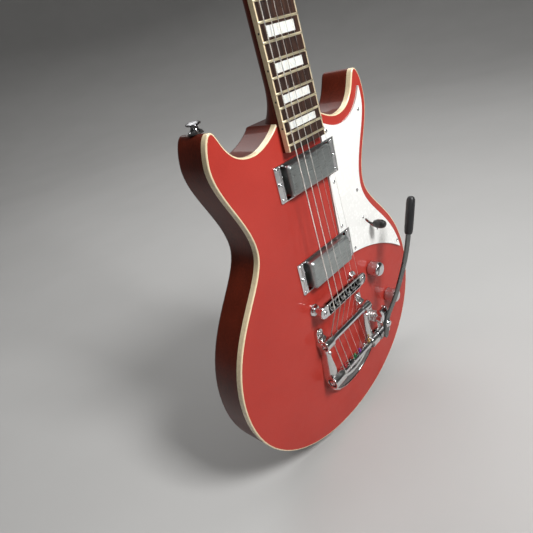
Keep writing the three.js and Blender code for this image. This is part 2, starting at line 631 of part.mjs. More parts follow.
// Strings: from the shaft under the roller, over the saddle and the nut, to the post's inner side.
function buildStrings() {
  const toFront = front.matrixWorld.clone().invert();
  const nutToFront = toFront.clone().multiply(boardFrame.matrixWorld);
  const headToFront = toFront.clone().multiply(headFrame.matrixWorld);
  for (const { side, z, x, number } of tunerSpots()) {
    const radius = stringGauges[number - 1] / 2;
    const spaced = (spacing) => stringX(number - 1, spacing);
    const rollerDrop = (roller.radius + radius + 0.2) / cos(degrees(22));
    const breakZ = bridge.z + saddleOffsets[number - 1] - saddleTravel - 0.8;
    const overNut = place(spaced(nutSpacing), stringHeight.nut, nutAt + nutLength / 2);
    const atPost = place(x - side * (postRadius + radius + fitGap), 8, z);
    const saddlePoint = place(spaced(bridgeSpacing), stringHeight.bridge, breakZ);
    const route = [
      place(spaced(bridgeSpacing), shaft.height + shaft.radius + radius + 0.4, shaft.z + 1),
      place(spaced(bridgeSpacing), roller.height - rollerDrop, roller.z),
      saddlePoint,
      overNut.applyMatrix4(nutToFront),
      atPost.applyMatrix4(headToFront),
    ];
    add(front, `string_${number}`, tube(route, radius), "steel");
  }
}

buildBody();
buildNeck();
buildGuard();
buildPickup("neck", pickupPlaces.neck);
buildPickup("bridge", pickupPlaces.bridge);
buildBridge();
buildVibrato();
buildControls();
buildTuners();
buildStrings();

export default guitar;
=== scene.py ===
"""The looks of a double-cutaway electric guitar with a horseshoe vibrato, round its CAD frame.

Lengths are in millimetres. Shapes are drawn in one of three frames: the body's, whose heights are
distances in front of its top plane, the fretboard's and the headstock's. In each, a place is
at(x, height, z), +X is the treble side and +Z runs up the strings. piece() puts a shape drawn in
a frame where it belongs, in metres.
"""

import json
import math

import bmesh
import bpy
from mathutils import Matrix, Vector
from mathutils.geometry import delaunay_2d_cdt


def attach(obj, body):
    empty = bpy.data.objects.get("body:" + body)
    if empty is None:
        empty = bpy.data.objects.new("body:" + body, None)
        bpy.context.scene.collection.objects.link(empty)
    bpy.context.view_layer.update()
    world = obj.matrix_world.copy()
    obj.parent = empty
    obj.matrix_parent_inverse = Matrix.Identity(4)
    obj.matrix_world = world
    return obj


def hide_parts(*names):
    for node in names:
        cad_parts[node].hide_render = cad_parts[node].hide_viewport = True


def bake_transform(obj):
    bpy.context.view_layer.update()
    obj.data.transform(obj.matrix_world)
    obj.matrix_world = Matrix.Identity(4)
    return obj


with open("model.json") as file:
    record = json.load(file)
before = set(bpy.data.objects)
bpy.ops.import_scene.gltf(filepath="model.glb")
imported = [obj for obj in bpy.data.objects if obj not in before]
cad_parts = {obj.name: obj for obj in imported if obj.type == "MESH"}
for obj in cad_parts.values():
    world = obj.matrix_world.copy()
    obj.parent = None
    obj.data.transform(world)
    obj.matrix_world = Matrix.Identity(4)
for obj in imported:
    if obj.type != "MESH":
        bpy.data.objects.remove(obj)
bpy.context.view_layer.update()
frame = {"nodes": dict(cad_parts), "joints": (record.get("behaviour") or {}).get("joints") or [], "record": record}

METRE = 1000
PI = math.pi
SIDES = (-1, 1)

# ---- Driving dimensions -------------------------------------------------------------------------

BODY_THICKNESS = 42
CAP_THICKNESS = 6.5
BINDING_WIDTH = 1.5
BINDING_ROUNDING = 1.3
BACK_ROUNDING = 5
JACK_Z = -60
TAIL_END = -182.5
NECK_JOINT = (28.5, 197)
BASS_SIDE = dict(bout=(161, -50), waist=(91.5, 98), horn=(117, 184), tip=(105, 213), cutaway=(64, 181),
                 shoulder=10)
TREBLE_SIDE = dict(bout=(163, -44), waist=(93, 99), horn=(119.5, 183), tip=(106.5, 217),
                   cutaway=(64.5, 180.5), shoulder=18)

SCALE_LENGTH = 628
FRETS = 22
NECK_PITCH = math.radians(2.5)
BOARD_RISE = 9.3
BOARD_THICKNESS = 6
BOARD_CROWN = 0.5
BOARD_END_PAST_FRETS = 6
BOARD_HALF_WIDTHS = (28.25, 21.7)
HEAD_PITCH = math.radians(13)
HEAD_THICKNESS = 15
HEAD_FACE_DEPTH = 5
NUT_LENGTH = 3.8

STRING_GAUGES = (1.17, 0.91, 0.66, 0.43, 0.33, 0.25)
WOUND_STRINGS = 3
BRIDGE_SPACING = 10.4
NUT_SPACING = 7


# ---- Places from the frame ----------------------------------------------------------------------

def at(x, height, z):
    """A place in the frame that a shape is drawn in."""
    return Vector((x, -height, z))


TOP_FRAME = Matrix.Translation((0, -BODY_THICKNESS, 0))
JOINTS = {joint["name"]: TOP_FRAME.inverted() @ (Vector(joint["pos_m"]) * METRE)
          for joint in frame["joints"]}


def fret_z(number):
    """A fret's place along the strings, from the bridge line."""
    return SCALE_LENGTH * 2 ** (-number / 12)


BOARD_START = fret_z(FRETS)
NUT_AT = SCALE_LENGTH - BOARD_START
BOARD_FRAME = (TOP_FRAME @ Matrix.Translation(at(0, BOARD_RISE, BOARD_START))
               @ Matrix.Rotation(-NECK_PITCH, 4, "X"))
HEAD_FRAME = (BOARD_FRAME @ Matrix.Translation((0, HEAD_FACE_DEPTH, NUT_AT + NUT_LENGTH))
              @ Matrix.Rotation(-HEAD_PITCH, 4, "X"))


# ---- Shapes -------------------------------------------------------------------------------------

class Shape:
    """Points and the faces between them."""

    def __init__(self, points=(), faces=()):
        self.points = [Vector(p) for p in points]
        self.faces = [tuple(face) for face in faces]

    def __add__(self, other):
        shift = len(self.points)
        faces = [tuple(i + shift for i in f) for f in other.faces]
        return Shape(self.points + other.points, self.faces + faces)

    def moved(self, matrix):
        return Shape([matrix @ p for p in self.points], self.faces)


def together(shapes):
    whole = Shape()
    for shape in shapes:
        whole = whole + shape
    return whole


def loft(rows, capped=True):
    """A skin through rows of points, each row a closed ring, with a face over each end."""
    count = len(rows[0])
    points = [p for row in rows for p in row]
    faces = []
    for r in range(len(rows) - 1):
        for i in range(count):
            j = (i + 1) % count
            faces.append((r * count + i, r * count + j, (r + 1) * count + j, (r + 1) * count + i))
    if capped:
        faces.append(tuple(reversed(range(count))))
        faces.append(tuple(range((len(rows) - 1) * count, len(rows) * count)))
    return Shape(points, faces)


def full_turn(sides):
    """Angles evenly spread over a full turn."""
    return [2 * PI * i / sides for i in range(sides)]


def disc(radius, start, end):
    """A lathe profile: a plain cylinder between two distances along the axis."""
    return [(0, start), (radius, start), (radius, end), (0, end)]


def turned(profile, centre=(0, 0, 0), towards=(0, -1, 0), sides=40):
    """A lathe shape: the profile is (radius, distance along the axis).

    One that ends where it starts is a ring.
    """
    turn = Vector(towards).to_track_quat("Z", "X").to_matrix().to_4x4()
    place = Matrix.Translation(centre) @ turn
    rows = [[place @ Vector((r * math.cos(a), r * math.sin(a), along)) for a in full_turn(sides)]
            for r, along in profile]
    return loft(rows, capped=profile[0] != profile[-1])


def box(x0, x1, low, high, z0, z1):
    corners = [(x0, z0), (x1, z0), (x1, z1), (x0, z1)]
    return loft([[Vector((x, -height, z)) for x, z in corners] for height in (low, high)])


def rounded(points, radius, steps=6):
    """An outline with its corners rounded by arcs of a radius."""
    out = []
    count = len(points)
    for i, corner in enumerate(points):
        here = Vector(corner)
        before = (Vector(points[i - 1]) - here)
        after = (Vector(points[(i + 1) % count]) - here)
        half = before.angle(after) / 2
        reach = min(radius / math.tan(half), 0.49 * before.length, 0.49 * after.length)
        centre = here + (before.normalized() + after.normalized()).normalized() * reach / math.cos(half)
        start = here + before.normalized() * reach - centre
        end = here + after.normalized() * reach - centre
        turn = start.angle_signed(end)
        for k in range(steps + 1):
            spin = Matrix.Rotation(-turn * k / steps, 2)
            out.append(tuple(centre + spin @ start))
    return out


def rectangle(length, width, radius, centre=(0, 0)):
    """An outline with rounded corners."""
    x, z = centre
    a, b = length / 2, width / 2
    return rounded([(x - a, z - b), (x + a, z - b), (x + a, z + b), (x - a, z + b)], radius)


def moved_in(outline, distance, share_of_bend=None):
    """The outline moved to its left, which is inwards for one that runs anticlockwise.

    With a share of bend, a point moves no further than that share of the outline's radius there.
    """
    out = []
    for i, point in enumerate(outline):
        here = Vector(point)
        before = Vector(outline[i - 1])
        after = Vector(outline[(i + 1) % len(outline)])
        along = (after - before).normalized()
        move = distance
        if share_of_bend:
            turn = -(here - before).angle_signed(after - here, 0)
            radius = (after - before).length / 2 / turn if turn > 1e-4 else distance * 10
            move = min(distance, share_of_bend * radius)
        out.append((point[0] - move * along.y, point[1] + move * along.x))
    return out


def inset(outline, distance):
    """As moved_in, without the points that would come too near to another stretch."""
    points = [Vector(p) for p in outline]
    keep = 0.97 * distance
    return [p for p in moved_in(outline, distance) if min((Vector(p) - q).length for q in points) > keep]


BEND_LIMIT_FROM = 2


def plate(outer, low, high, holes=(), edges=(0, 0), hole_edge=0, steps=4):
    """A flat piece with rounded edges: edges are the roundings at the low and the high face."""
    loops = [(list(outer), edges)] + [(list(reversed(hole)), (hole_edge, hole_edge)) for hole in holes]
    whole = Shape()
    caps = {low: [], high: []}
    for outline, (low_edge, high_edge) in loops:
        quarter = [PI / 2 * i / steps for i in range(steps + 1)]
        stack = [(low_edge * (1 - math.sin(a)), low + low_edge * (1 - math.cos(a)))
                 for a in quarter if low_edge]
        stack = stack or [(0, low)]
        top = [(high_edge * (1 - math.sin(a)), high - high_edge * (1 - math.cos(a)))
               for a in reversed(quarter) if high_edge]
        stack += top or [(0, high)]
        bend = 0.85 if max(low_edge, high_edge) > BEND_LIMIT_FROM else None
        rows = [[Vector((x, -height, z)) for x, z in moved_in(outline, move, bend)]
                for move, height in stack]
        start = len(whole.points)
        whole = whole + loft(rows, capped=False)
        caps[low].append([start + i for i in range(len(outline))])
        caps[high].append([start + (len(rows) - 1) * len(outline) + i for i in range(len(outline))])
    for loops_at in caps.values():
        whole.faces += filled(whole.points, loops_at)
    return whole


def filled(points, loops):
    """Faces that fill the area between nested loops of points, all at one height."""
    order = [i for loop in loops for i in loop]
    flat = [Vector((points[i].x, points[i].z)) for i in order]
    edges = []
    start = 0
    for loop in loops:
        edges += [(start + k, start + (k + 1) % len(loop)) for k in range(len(loop))]
        start += len(loop)
    made = delaunay_2d_cdt(flat, edges, [], 1, 1e-5, True)
    nearest = [min(range(len(flat)), key=lambda k: (flat[k] - p).length) for p in made[0]]
    source = [origin[0] if origin else near for origin, near in zip(made[3], nearest)]
    sides = [(flat[a], flat[b]) for a, b in edges]
    kept = [face for face in made[2]
            if inside(sum((flat[source[i]] for i in face), Vector((0, 0))) / 3, sides)]
    return [tuple(order[source[i]] for i in face) for face in kept]


def inside(point, sides):
    """Whether a point lies within the sides, by counting those that a ray from it crosses."""
    crossed = 0
    for a, b in sides:
        if (a.y > point.y) != (b.y > point.y):
            crossed += point.x < a.x + (b.x - a.x) * (point.y - a.y) / (b.y - a.y)
    return crossed % 2 == 1


def on_side(shape):
    """Turns a plate drawn in (z, height) so that its own height runs across the guitar."""
    swap = Matrix(((0, -1, 0, 0), (0, 0, -1, 0), (1, 0, 0, 0), (0, 0, 0, 1)))
    return shape.moved(swap)


def tube(points, radius, sides=16):
    """A round tube along points. The radius is one number or one for each point."""
    points = [Vector(p) for p in points]
    radii = radius if isinstance(radius, (list, tuple)) else [radius] * len(points)
    rows = []
    across = None
    for i, point in enumerate(points):
        along = (points[min(i + 1, len(points) - 1)] - points[max(i - 1, 0)]).normalized()
        across = along.orthogonal() if across is None else across - along * across.dot(along)
        across = across.normalized()
        other = along.cross(across)
        rows.append([point + radii[i] * (across * math.cos(a) + other * math.sin(a))
                     for a in full_turn(sides)])
    return loft(rows)


def eased(points, steps=8):
    """A smooth curve through points."""
    points = [Vector(p) for p in points]
    ends = [2 * points[0] - points[1]] + points + [2 * points[-1] - points[-2]]
    out = []
    for i in range(1, len(ends) - 2):
        a, b, c, d = ends[i - 1:i + 3]
        for k in range(steps):
            t = k / steps
            second = (2 * a - 5 * b + 4 * c - d) * t * t
            third = (3 * b - a - 3 * c + d) * t ** 3
            out.append(0.5 * (2 * b + (c - a) * t + second + third))
    return out + [points[-1]]


def bezier(corners, steps):
    """Points along a cubic curve, without its last."""
    a, b, c, d = (Vector(p) for p in corners)
    out = []
    for k in range(steps):
        t = k / steps
        out.append(tuple(a * (1 - t) ** 3 + 3 * b * t * (1 - t) ** 2 + 3 * c * t * t * (1 - t) + d * t ** 3))
    return out


def mirrored(outline):
    return [(-x, z) for x, z in reversed(outline)]


# ---- Pieces -------------------------------------------------------------------------------------

def mesh_object(name, shape):
    mesh = bpy.data.meshes.new(name)
    mesh.from_pydata([p / METRE for p in shape.points], [], shape.faces)
    obj = bpy.data.objects.new(name, mesh)
    bpy.context.scene.collection.objects.link(obj)
    return obj


def clean(obj):
    bm = bmesh.new()
    bm.from_mesh(obj.data)
    bmesh.ops.remove_doubles(bm, verts=bm.verts, dist=1e-6)
    bmesh.ops.recalc_face_normals(bm, faces=bm.faces)
    bm.to_mesh(obj.data)
    bm.free()


def carve(obj, cutters):
    """Cuts shapes out of a piece."""
    for shape in cutters:
        tool = mesh_object("cutter", shape)
        clean(tool)
        step = obj.modifiers.new("cut", "BOOLEAN")
        step.object = tool
        step.solver = "EXACT"
        bpy.context.view_layer.update()
        solid = bpy.data.meshes.new_from_object(obj.evaluated_get(bpy.context.evaluated_depsgraph_get()))
        obj.modifiers.clear()
        obj.data = solid
        bpy.data.objects.remove(tool)


def finish_edges(obj, bevel, crease):
    """Rounds the hard edges by a bevel in millimetres and shades the rest smooth."""
    bm = bmesh.new()
    bm.from_mesh(obj.data)
    limit = math.radians(crease)
    hard = [e for e in bm.edges if len(e.link_faces) == 2 and e.calc_face_angle() > limit]
    if bevel:
        bmesh.ops.bevel(bm, geom=hard, offset=bevel / METRE, segments=2, profile=0.5, affect="EDGES",
                        clamp_overlap=True)
    for face in bm.faces:
        face.smooth = True
    for edge in bm.edges:
        edge.smooth = len(edge.link_faces) != 2 or edge.calc_face_angle() < limit
    bm.to_mesh(obj.data)
    bm.free()
    even = obj.modifiers.new("even normals", "WEIGHTED_NORMAL")
    even.keep_sharp = True


def piece(name, shape, material, slot, body="guitar", nodes=(), bevel=0, crease=38, cuts=(),
          frame_of=TOP_FRAME):
    """One finished piece; body=None leaves it without a parent, for one that runs between two bodies."""
    obj = mesh_object(name, shape)
    clean(obj)
    carve(obj, cuts)
    finish_edges(obj, bevel, crease)
    obj.data.transform(Matrix.Translation(frame_of.translation / METRE) @ frame_of.to_3x3().to_4x4())
    obj.data.materials.clear()
    obj.data.materials.append(material)
    if body:
        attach(obj, body)
    if nodes:
        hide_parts(*nodes)
    return obj


# ---- Materials ----------------------------------------------------------------------------------

class Finish:
    """A material in the making: one glossy shader and the textures that feed it."""

    def __init__(self, name, colour, roughness, metallic=0.0, coat=0.0, coat_roughness=0.04):
        self.material = bpy.data.materials.new(name)
        self.material.use_nodes = True
        self.tree = self.material.node_tree
        self.shader = self.tree.nodes["Principled BSDF"]
        self.colour = (*colour, 1)
        self.shader.inputs["Base Color"].default_value = self.colour
        self.shader.inputs["Roughness"].default_value = roughness
        self.shader.inputs["Metallic"].default_value = metallic
        self.shader.inputs["Coat Weight"].default_value = coat
        self.shader.inputs["Coat Roughness"].default_value = coat_roughness
        self.places = self.tree.nodes.new("ShaderNodeTexCoord").outputs["Object"]

    def link(self, source, target):
        self.tree.links.new(source, target)

    def stretched(self, stretch):
        """Object places scaled in x, y and z, so that a texture runs long along the smallest."""
        node = self.tree.nodes.new("ShaderNodeMapping")
        node.inputs["Scale"].default_value = stretch
        self.link(self.places, node.inputs["Vector"])
        return node.outputs["Vector"]

    def noise(self, size, detail=3.0, stretch=(1, 1, 1), distortion=0.0):
        """Noise whose features are about size millimetres across."""
        node = self.tree.nodes.new("ShaderNodeTexNoise")
        node.inputs["Scale"].default_value = METRE / size
        node.inputs["Detail"].default_value = detail
        node.inputs["Distortion"].default_value = distortion
        self.link(self.stretched(stretch), node.inputs["Vector"])
        return node.outputs["Fac"]

    def bands(self, size, axis="Z", distortion=0.0):
        """Even stripes across an axis, a size apart."""
        node = self.tree.nodes.new("ShaderNodeTexWave")
        node.bands_direction = axis
        node.inputs["Scale"].default_value = METRE / size / 3.1416
        node.inputs["Distortion"].default_value = distortion
        self.link(self.places, node.inputs["Vector"])
        return node.outputs["Fac"]

    def ramp(self, source, stops):
        """Colours or numbers along a texture: stops are (place, colour or number)."""
        node = self.tree.nodes.new("ShaderNodeValToRGB")
        ramp = node.color_ramp
        while len(ramp.elements) < len(stops):
            ramp.elements.new(0.5)
        for element, (place, value) in zip(ramp.elements, stops):
            element.position = place
            element.color = (*value, 1) if isinstance(value, (tuple, list)) else (value, value, value, 1)
        self.link(source, node.inputs["Fac"])
        return node.outputs["Color"]

    def blended(self, factor, first, second, mode="MIX"):
        """Two colours mixed, each a texture or a colour."""
        node = self.tree.nodes.new("ShaderNodeMix")
        node.data_type = "RGBA"
        node.blend_type = mode
        for value, socket in ((factor, node.inputs[0]), (first, node.inputs[6]), (second, node.inputs[7])):
            if isinstance(value, bpy.types.NodeSocket):
                self.link(value, socket)
            else:
                socket.default_value = value
        return node.outputs[2]

    def shade(self, source, spread):
        """The base colour, made lighter and darker by a texture."""
        low = tuple(c * (1 - spread) for c in self.colour[:3])
        high = tuple(min(1, c * (1 + spread)) for c in self.colour[:3])
        return self.ramp(source, [(0.3, low), (0.7, high)])

    def set(self, socket, source):
        self.link(source, self.shader.inputs[socket])

    def bump(self, source, height, strength=1.0):
        """Bumps of a height in millimetres, on top of any set before."""
        node = self.tree.nodes.new("ShaderNodeBump")
        node.inputs["Strength"].default_value = strength
        node.inputs["Distance"].default_value = height / METRE
        self.link(source, node.inputs["Height"])
        before = self.shader.inputs["Normal"].links
        if before:
            self.link(before[0].from_socket, node.inputs["Normal"])
        self.link(node.outputs["Normal"], self.shader.inputs["Normal"])


def lacquered_paint():
    """Coral lacquer, a shade deeper in places, with faint swirls in its gloss."""
    finish = Finish("coral lacquer", (0.4, 0.036, 0.026), 0.4, coat=0.3, coat_roughness=0.05)
    finish.shader.inputs["Specular IOR Level"].default_value = 0.14
    tone = finish.ramp(finish.noise(90, 5, distortion=0.4),
                       [(0.3, (0.385, 0.033, 0.023)), (0.7, (0.44, 0.041, 0.029))])
    flecks = finish.ramp(finish.noise(0.9, 2), [(0.3, 0.94), (0.6, 1.0)])
    finish.set("Base Color", finish.blended(1.0, tone, flecks, "MULTIPLY"))
    finish.set("Roughness", finish.ramp(finish.noise(18, 5, distortion=1.0), [(0.3, 0.34), (0.7, 0.5)]))
    finish.bump(finish.noise(2.2, 2), 0.004)
    return finish.material


def dark_wood(name, colour, coat):
    """Stained wood: fine streaks up the guitar, broad slow colour, small pores, and a clear coat."""
    finish = Finish(name, colour, 0.42, coat=coat, coat_roughness=0.05)
    finish.shader.inputs["Specular IOR Level"].default_value = 0.15
    light = tuple(c * 1.28 for c in colour)
    dark = tuple(c * 0.8 for c in colour)
    grain = finish.noise(1.1, 6, (1, 1, 0.03), 0.3)
    streaks = finish.ramp(grain, [(0.3, dark), (0.5, colour), (0.72, light)])
    broad = finish.ramp(finish.noise(22, 3, (1, 1, 0.12)), [(0.3, 0.72), (0.7, 1.1)])
    pores = finish.ramp(finish.noise(0.4, 2, (1, 1, 0.04)), [(0.34, 0.6), (0.42, 1.0)])
    toned = finish.blended(1.0, streaks, broad, "MULTIPLY")
    finish.set("Base Color", finish.blended(1.0, toned, pores, "MULTIPLY"))
    finish.bump(finish.noise(2.5, 2, (1, 1, 0.3)), 0.003)
    return finish.material


def rosewood():
    """Dark open-pored wood with streaks up the neck and no coat."""
    finish = Finish("rosewood", (0.036, 0.017, 0.011), 0.42)
    grain = finish.noise(2.4, 7, (1, 1, 0.05), 0.8)
    streaks = finish.ramp(grain, [(0.34, (0.012, 0.006, 0.005)), (0.52, (0.04, 0.018, 0.012)),
                                  (0.72, (0.085, 0.04, 0.025))])
    pores = finish.ramp(finish.noise(0.3, 1, (1, 1, 0.06)), [(0.36, 0.3), (0.44, 1.0)])
    finish.set("Base Color", finish.blended(1.0, streaks, pores, "MULTIPLY"))
    finish.set("Roughness", finish.ramp(grain, [(0.3, 0.5), (0.7, 0.34)]))
    finish.bump(pores, 0.03)
    return finish.material


def plastic(name, colour, roughness, coat=0.0, mottle=0.04, grain=0.0):
    """Moulded plastic, slightly uneven, with a leathery grain of a size in millimetres if asked."""
    finish = Finish(name, colour, roughness, coat=coat)
    finish.set("Base Color", finish.shade(finish.noise(14, 4), mottle))
    finish.set("Roughness", finish.ramp(finish.noise(3.5, 4),
                                        [(0.3, roughness * 0.8), (0.75, roughness * 1.3)]))
    finish.bump(finish.noise(grain or 1.2, 2), 0.03 if grain else 0.002)
    return finish.material


def pearl():
    """Swirled pearl plastic."""
    finish = Finish("pearl", (0.78, 0.77, 0.72), 0.16, coat=0.6)
    swirl = finish.noise(5, 5, (1, 1, 0.6), 2.2)
    finish.set("Base Color", finish.ramp(swirl, [
        (0.3, (0.62, 0.64, 0.6)), (0.45, (0.86, 0.84, 0.76)),
        (0.55, (0.66, 0.72, 0.72)), (0.7, (0.9, 0.86, 0.84))]))
    finish.shader.inputs["Sheen Weight"].default_value = 0.2
    return finish.material


def plated(name, colour, roughness, wear=1.0):
    """Polished plating, with finger haze and very fine polishing marks."""
    finish = Finish(name, colour, roughness, metallic=1.0)
    haze = finish.noise(9, 5, distortion=0.4)
    finish.set("Roughness", finish.ramp(haze, [(0.35, roughness * 0.7), (0.75, roughness * (1 + wear))]))
    finish.set("Base Color", finish.shade(finish.noise(4, 3), 0.05 * wear))
    finish.bump(finish.noise(6, 2), 0.004)
    return finish.material


def brushed(name, colour, roughness, stretch):
    """Metal with fine brush lines along the axis whose stretch is the smallest."""
    finish = Finish(name, colour, roughness, metallic=1.0)
    lines = finish.noise(0.5, 4, stretch)
    haze = finish.noise(12, 3)
    tone = finish.ramp(lines, [(0.3, tuple(c * 0.72 for c in colour)),
                               (0.7, tuple(min(1, c * 1.25) for c in colour))])
    finish.set("Base Color", finish.blended(0.35, tone, finish.shade(haze, 0.15)))
    finish.set("Roughness", finish.ramp(lines, [(0.3, roughness * 0.75), (0.7, roughness * 1.3)]))
    finish.bump(lines, 0.01)
    return finish.material


def wound_wire():
    """Wrap wire round a core: ridges along the string, with painted shade darkening the grooves between the wraps.
    """
    finish = Finish("wound string", (0.66, 0.64, 0.6), 0.34, metallic=1.0)
    ridges = finish.bands(0.45)
    # Painted shade: the base colour is darker in the grooves between the wraps and lighter on their crests.
    finish.set("Base Color", finish.ramp(ridges, [(0.0, (0.3, 0.29, 0.27)), (0.6, (0.8, 0.78, 0.73))]))
    finish.bump(ridges, 0.12)
    return finish.material


def floor_paint():
    """Plain pale studio paint."""
    finish = Finish("studio floor", (0.46, 0.455, 0.445), 0.85)
    finish.shader.inputs["Specular IOR Level"].default_value = 0.1
    finish.set("Base Color", finish.ramp(finish.noise(260, 4),
                                         [(0.3, (0.45, 0.445, 0.435)), (0.7, (0.47, 0.465, 0.455))]))
    finish.bump(finish.noise(30, 3), 0.02)
    return finish.material


CORAL = lacquered_paint()
MAHOGANY = dark_wood("mahogany", (0.1, 0.0135, 0.0052), 0.3)
ROSEWOOD = rosewood()
CREAM = plastic("cream plastic", (0.76, 0.63, 0.41), 0.28, coat=0.5)
BONE = plastic("bone", (0.76, 0.7, 0.56), 0.3, coat=0.2)
WHITE = plastic("white ply", (0.86, 0.86, 0.83), 0.25, coat=0.5, mottle=0.015)
BLACK_PLY = plastic("black ply", (0.02, 0.02, 0.02), 0.3)
BLACK = plastic("black plastic", (0.012, 0.012, 0.012), 0.32, coat=0.2)
GRIP = plastic("grip plastic", (0.013, 0.013, 0.014), 0.4, grain=0.6)
PEARL = pearl()
CHROME = plated("chrome", (0.72, 0.72, 0.73), 0.08)
DARK_CHROME = plated("dark chrome", (0.4, 0.4, 0.41), 0.1)
KNURLED = plated("knurled chrome", (0.66, 0.66, 0.68), 0.3, wear=0.4)
POLISHED = plated("polished aluminium", (0.7, 0.7, 0.69), 0.12, wear=1.4)
DARK_STEEL = plated("dark steel", (0.16, 0.17, 0.165), 0.3)
ENAMEL = plastic("black enamel", (0.012, 0.012, 0.013), 0.3, coat=0.6)
STEEL = plated("string steel", (0.74, 0.74, 0.73), 0.28)
FRET_METAL = plated("fret metal", (0.97, 0.87, 0.62), 0.46, wear=0.2)
COVERS = brushed("brushed cover", (0.42, 0.45, 0.445), 0.33, (0.04, 1, 1))
WOUND = wound_wire()
# Dark plastic of the coils and the felts; the same dark is also painted shade in the vibrato's end grooves.
DARK_PARTS_AND_SHADE = plastic("dark parts and painted shade", (0.01, 0.009, 0.009), 0.6)


def chromed(name, shape, **details):
    """A piece with the plating that most fittings share."""
    return piece(name, shape, CHROME, "polished_chrome", **details)


# ---- Body ---------------------------------------------------------------------------------------

def side_curve(side, steps=(20, 22, 18, 14, 20, 12)):
    """One side of the outline, from the tail's middle to the neck."""
    bout, waist, horn, tip, cutaway = (side[k] for k in ("bout", "waist", "horn", "tip", "cutaway"))
    curves = [
        [(0, TAIL_END), (91, TAIL_END), (bout[0], bout[1] - 80), bout],
        [bout, (bout[0], bout[1] + 82), (waist[0], waist[1] - 36), waist],
        [waist, (waist[0], waist[1] + 29), (horn[0], horn[1] - 26), horn],
        [horn, (horn[0], horn[1] + side["shoulder"]), (tip[0] + 7, tip[1]), tip],
        [tip, (tip[0] - 9, tip[1]), (cutaway[0] + 36, cutaway[1]), cutaway],
        [cutaway, (cutaway[0] - 13, cutaway[1]), (NECK_JOINT[0] + 4, NECK_JOINT[1] - 5), NECK_JOINT],
    ]
    return [p for corners, count in zip(curves, steps) for p in bezier(corners, count)] + [NECK_JOINT]


OUTLINE = side_curve(TREBLE_SIDE) + mirrored(side_curve(BASS_SIDE))[:-1]
PICKUPS = {"neck": 143.5, "bridge": 39.2}
TOP_LIFT = -0.02
ROUT = dict(half_length=43, half_width=16.9, depth=16)
STRAP_BUTTONS = (("horn", at(-102.5, -BODY_THICKNESS / 2, 213.2), (0, 0, 1)),
                 ("end", at(0, -BODY_THICKNESS / 2, TAIL_END), (0, 0, -1)))


def capsule(a, b, radius, steps=16):
    """An outline with two round ends."""
    heading = math.atan2(b[1] - a[1], b[0] - a[0])
    ends = [(b, heading - PI / 2), (a, heading + PI / 2)]
    return [(x + radius * math.cos(start + PI * k / steps), z + radius * math.sin(start + PI * k / steps))
            for (x, z), start in ends for k in range(steps + 1)]


def across(joint):
    """A joint's place as (x, z)."""
    return (JOINTS[joint].x, JOINTS[joint].z)


def pickup_routs():
    length, width = ROUT["half_length"], ROUT["half_width"]
    return [box(-length, length, -ROUT["depth"], 5, z - width, z + width) for z in PICKUPS.values()]


def body():
    low = -BODY_THICKNESS
    cover_shape = (across("volume_turn"), across("tone_turn"))
    seat = plate(capsule(*cover_shape, 23.3), low - 5, low + 2.3)
    jack = turned(disc(9, 0, 40), at(130, -BODY_THICKNESS / 2, JACK_Z), (1, 0, 0))
    wood = plate(OUTLINE, low, -CAP_THICKNESS + TOP_LIFT, edges=(BACK_ROUNDING, 0), steps=8)
    piece("body_wood", wood, MAHOGANY, "mahogany", nodes=["body_back"], cuts=[*pickup_routs(), seat, jack])
    neck_gap = box(-28, 28, -10, 5, 185, 205)
    piece("top_paint", plate(inset(OUTLINE, BINDING_WIDTH - 0.05), -CAP_THICKNESS, TOP_LIFT), CORAL,
          "coral_paint", nodes=["body_top"], cuts=pickup_routs())
    inner = inset(OUTLINE, BINDING_WIDTH)
    strip = plate(OUTLINE, -CAP_THICKNESS, 0, edges=(0.2, BINDING_ROUNDING), holes=[inner], steps=5)
    piece("binding", strip, CREAM, "cream_plastic", nodes=["body_binding"], cuts=[neck_gap])


# ---- Neck ---------------------------------------------------------------------------------------

NECK_BEHIND_BOARD = 12.6
NECK_TAPER = 3.4
HEEL = dict(end=59, length=43, rise=24, bend=2.3)
NECK_START = 16
HEEL_PAST = 60
TUNER_ROWS = (40, 78, 116)
TUNER_X = 25


def half_width(z):
    wide, narrow = BOARD_HALF_WIDTHS
    return wide + (narrow - wide) * z / NUT_AT


def neck_depth(z):
    """How deep the neck is behind the board, thicker as it nears the heel."""
    slender = NECK_BEHIND_BOARD + NECK_TAPER * (1 - z / NUT_AT)
    share = max(0, (HEEL["end"] - z) / HEEL["length"])
    return slender + HEEL["rise"] * share ** HEEL["bend"]


def neck_ring(z, steps=24):
    row = []
    for i in range(steps + 1):
        angle = PI * i / steps
        depth = BOARD_THICKNESS + 0.1 + neck_depth(z) * math.sin(angle) ** 0.8
        row.append(Vector((half_width(z) * math.cos(angle), depth, z)))
    return row


def head_outline():
    side = bezier([(21.5, 0), (22, 14), (37, 18), (37, 42)], 14)
    side += [(37, 42), (34, 150)] + bezier([(34, 150), (34, 165), (22, 172), (0, 172)], 14)[1:] + [(0, 172)]
    return side + mirrored(side)[1:]


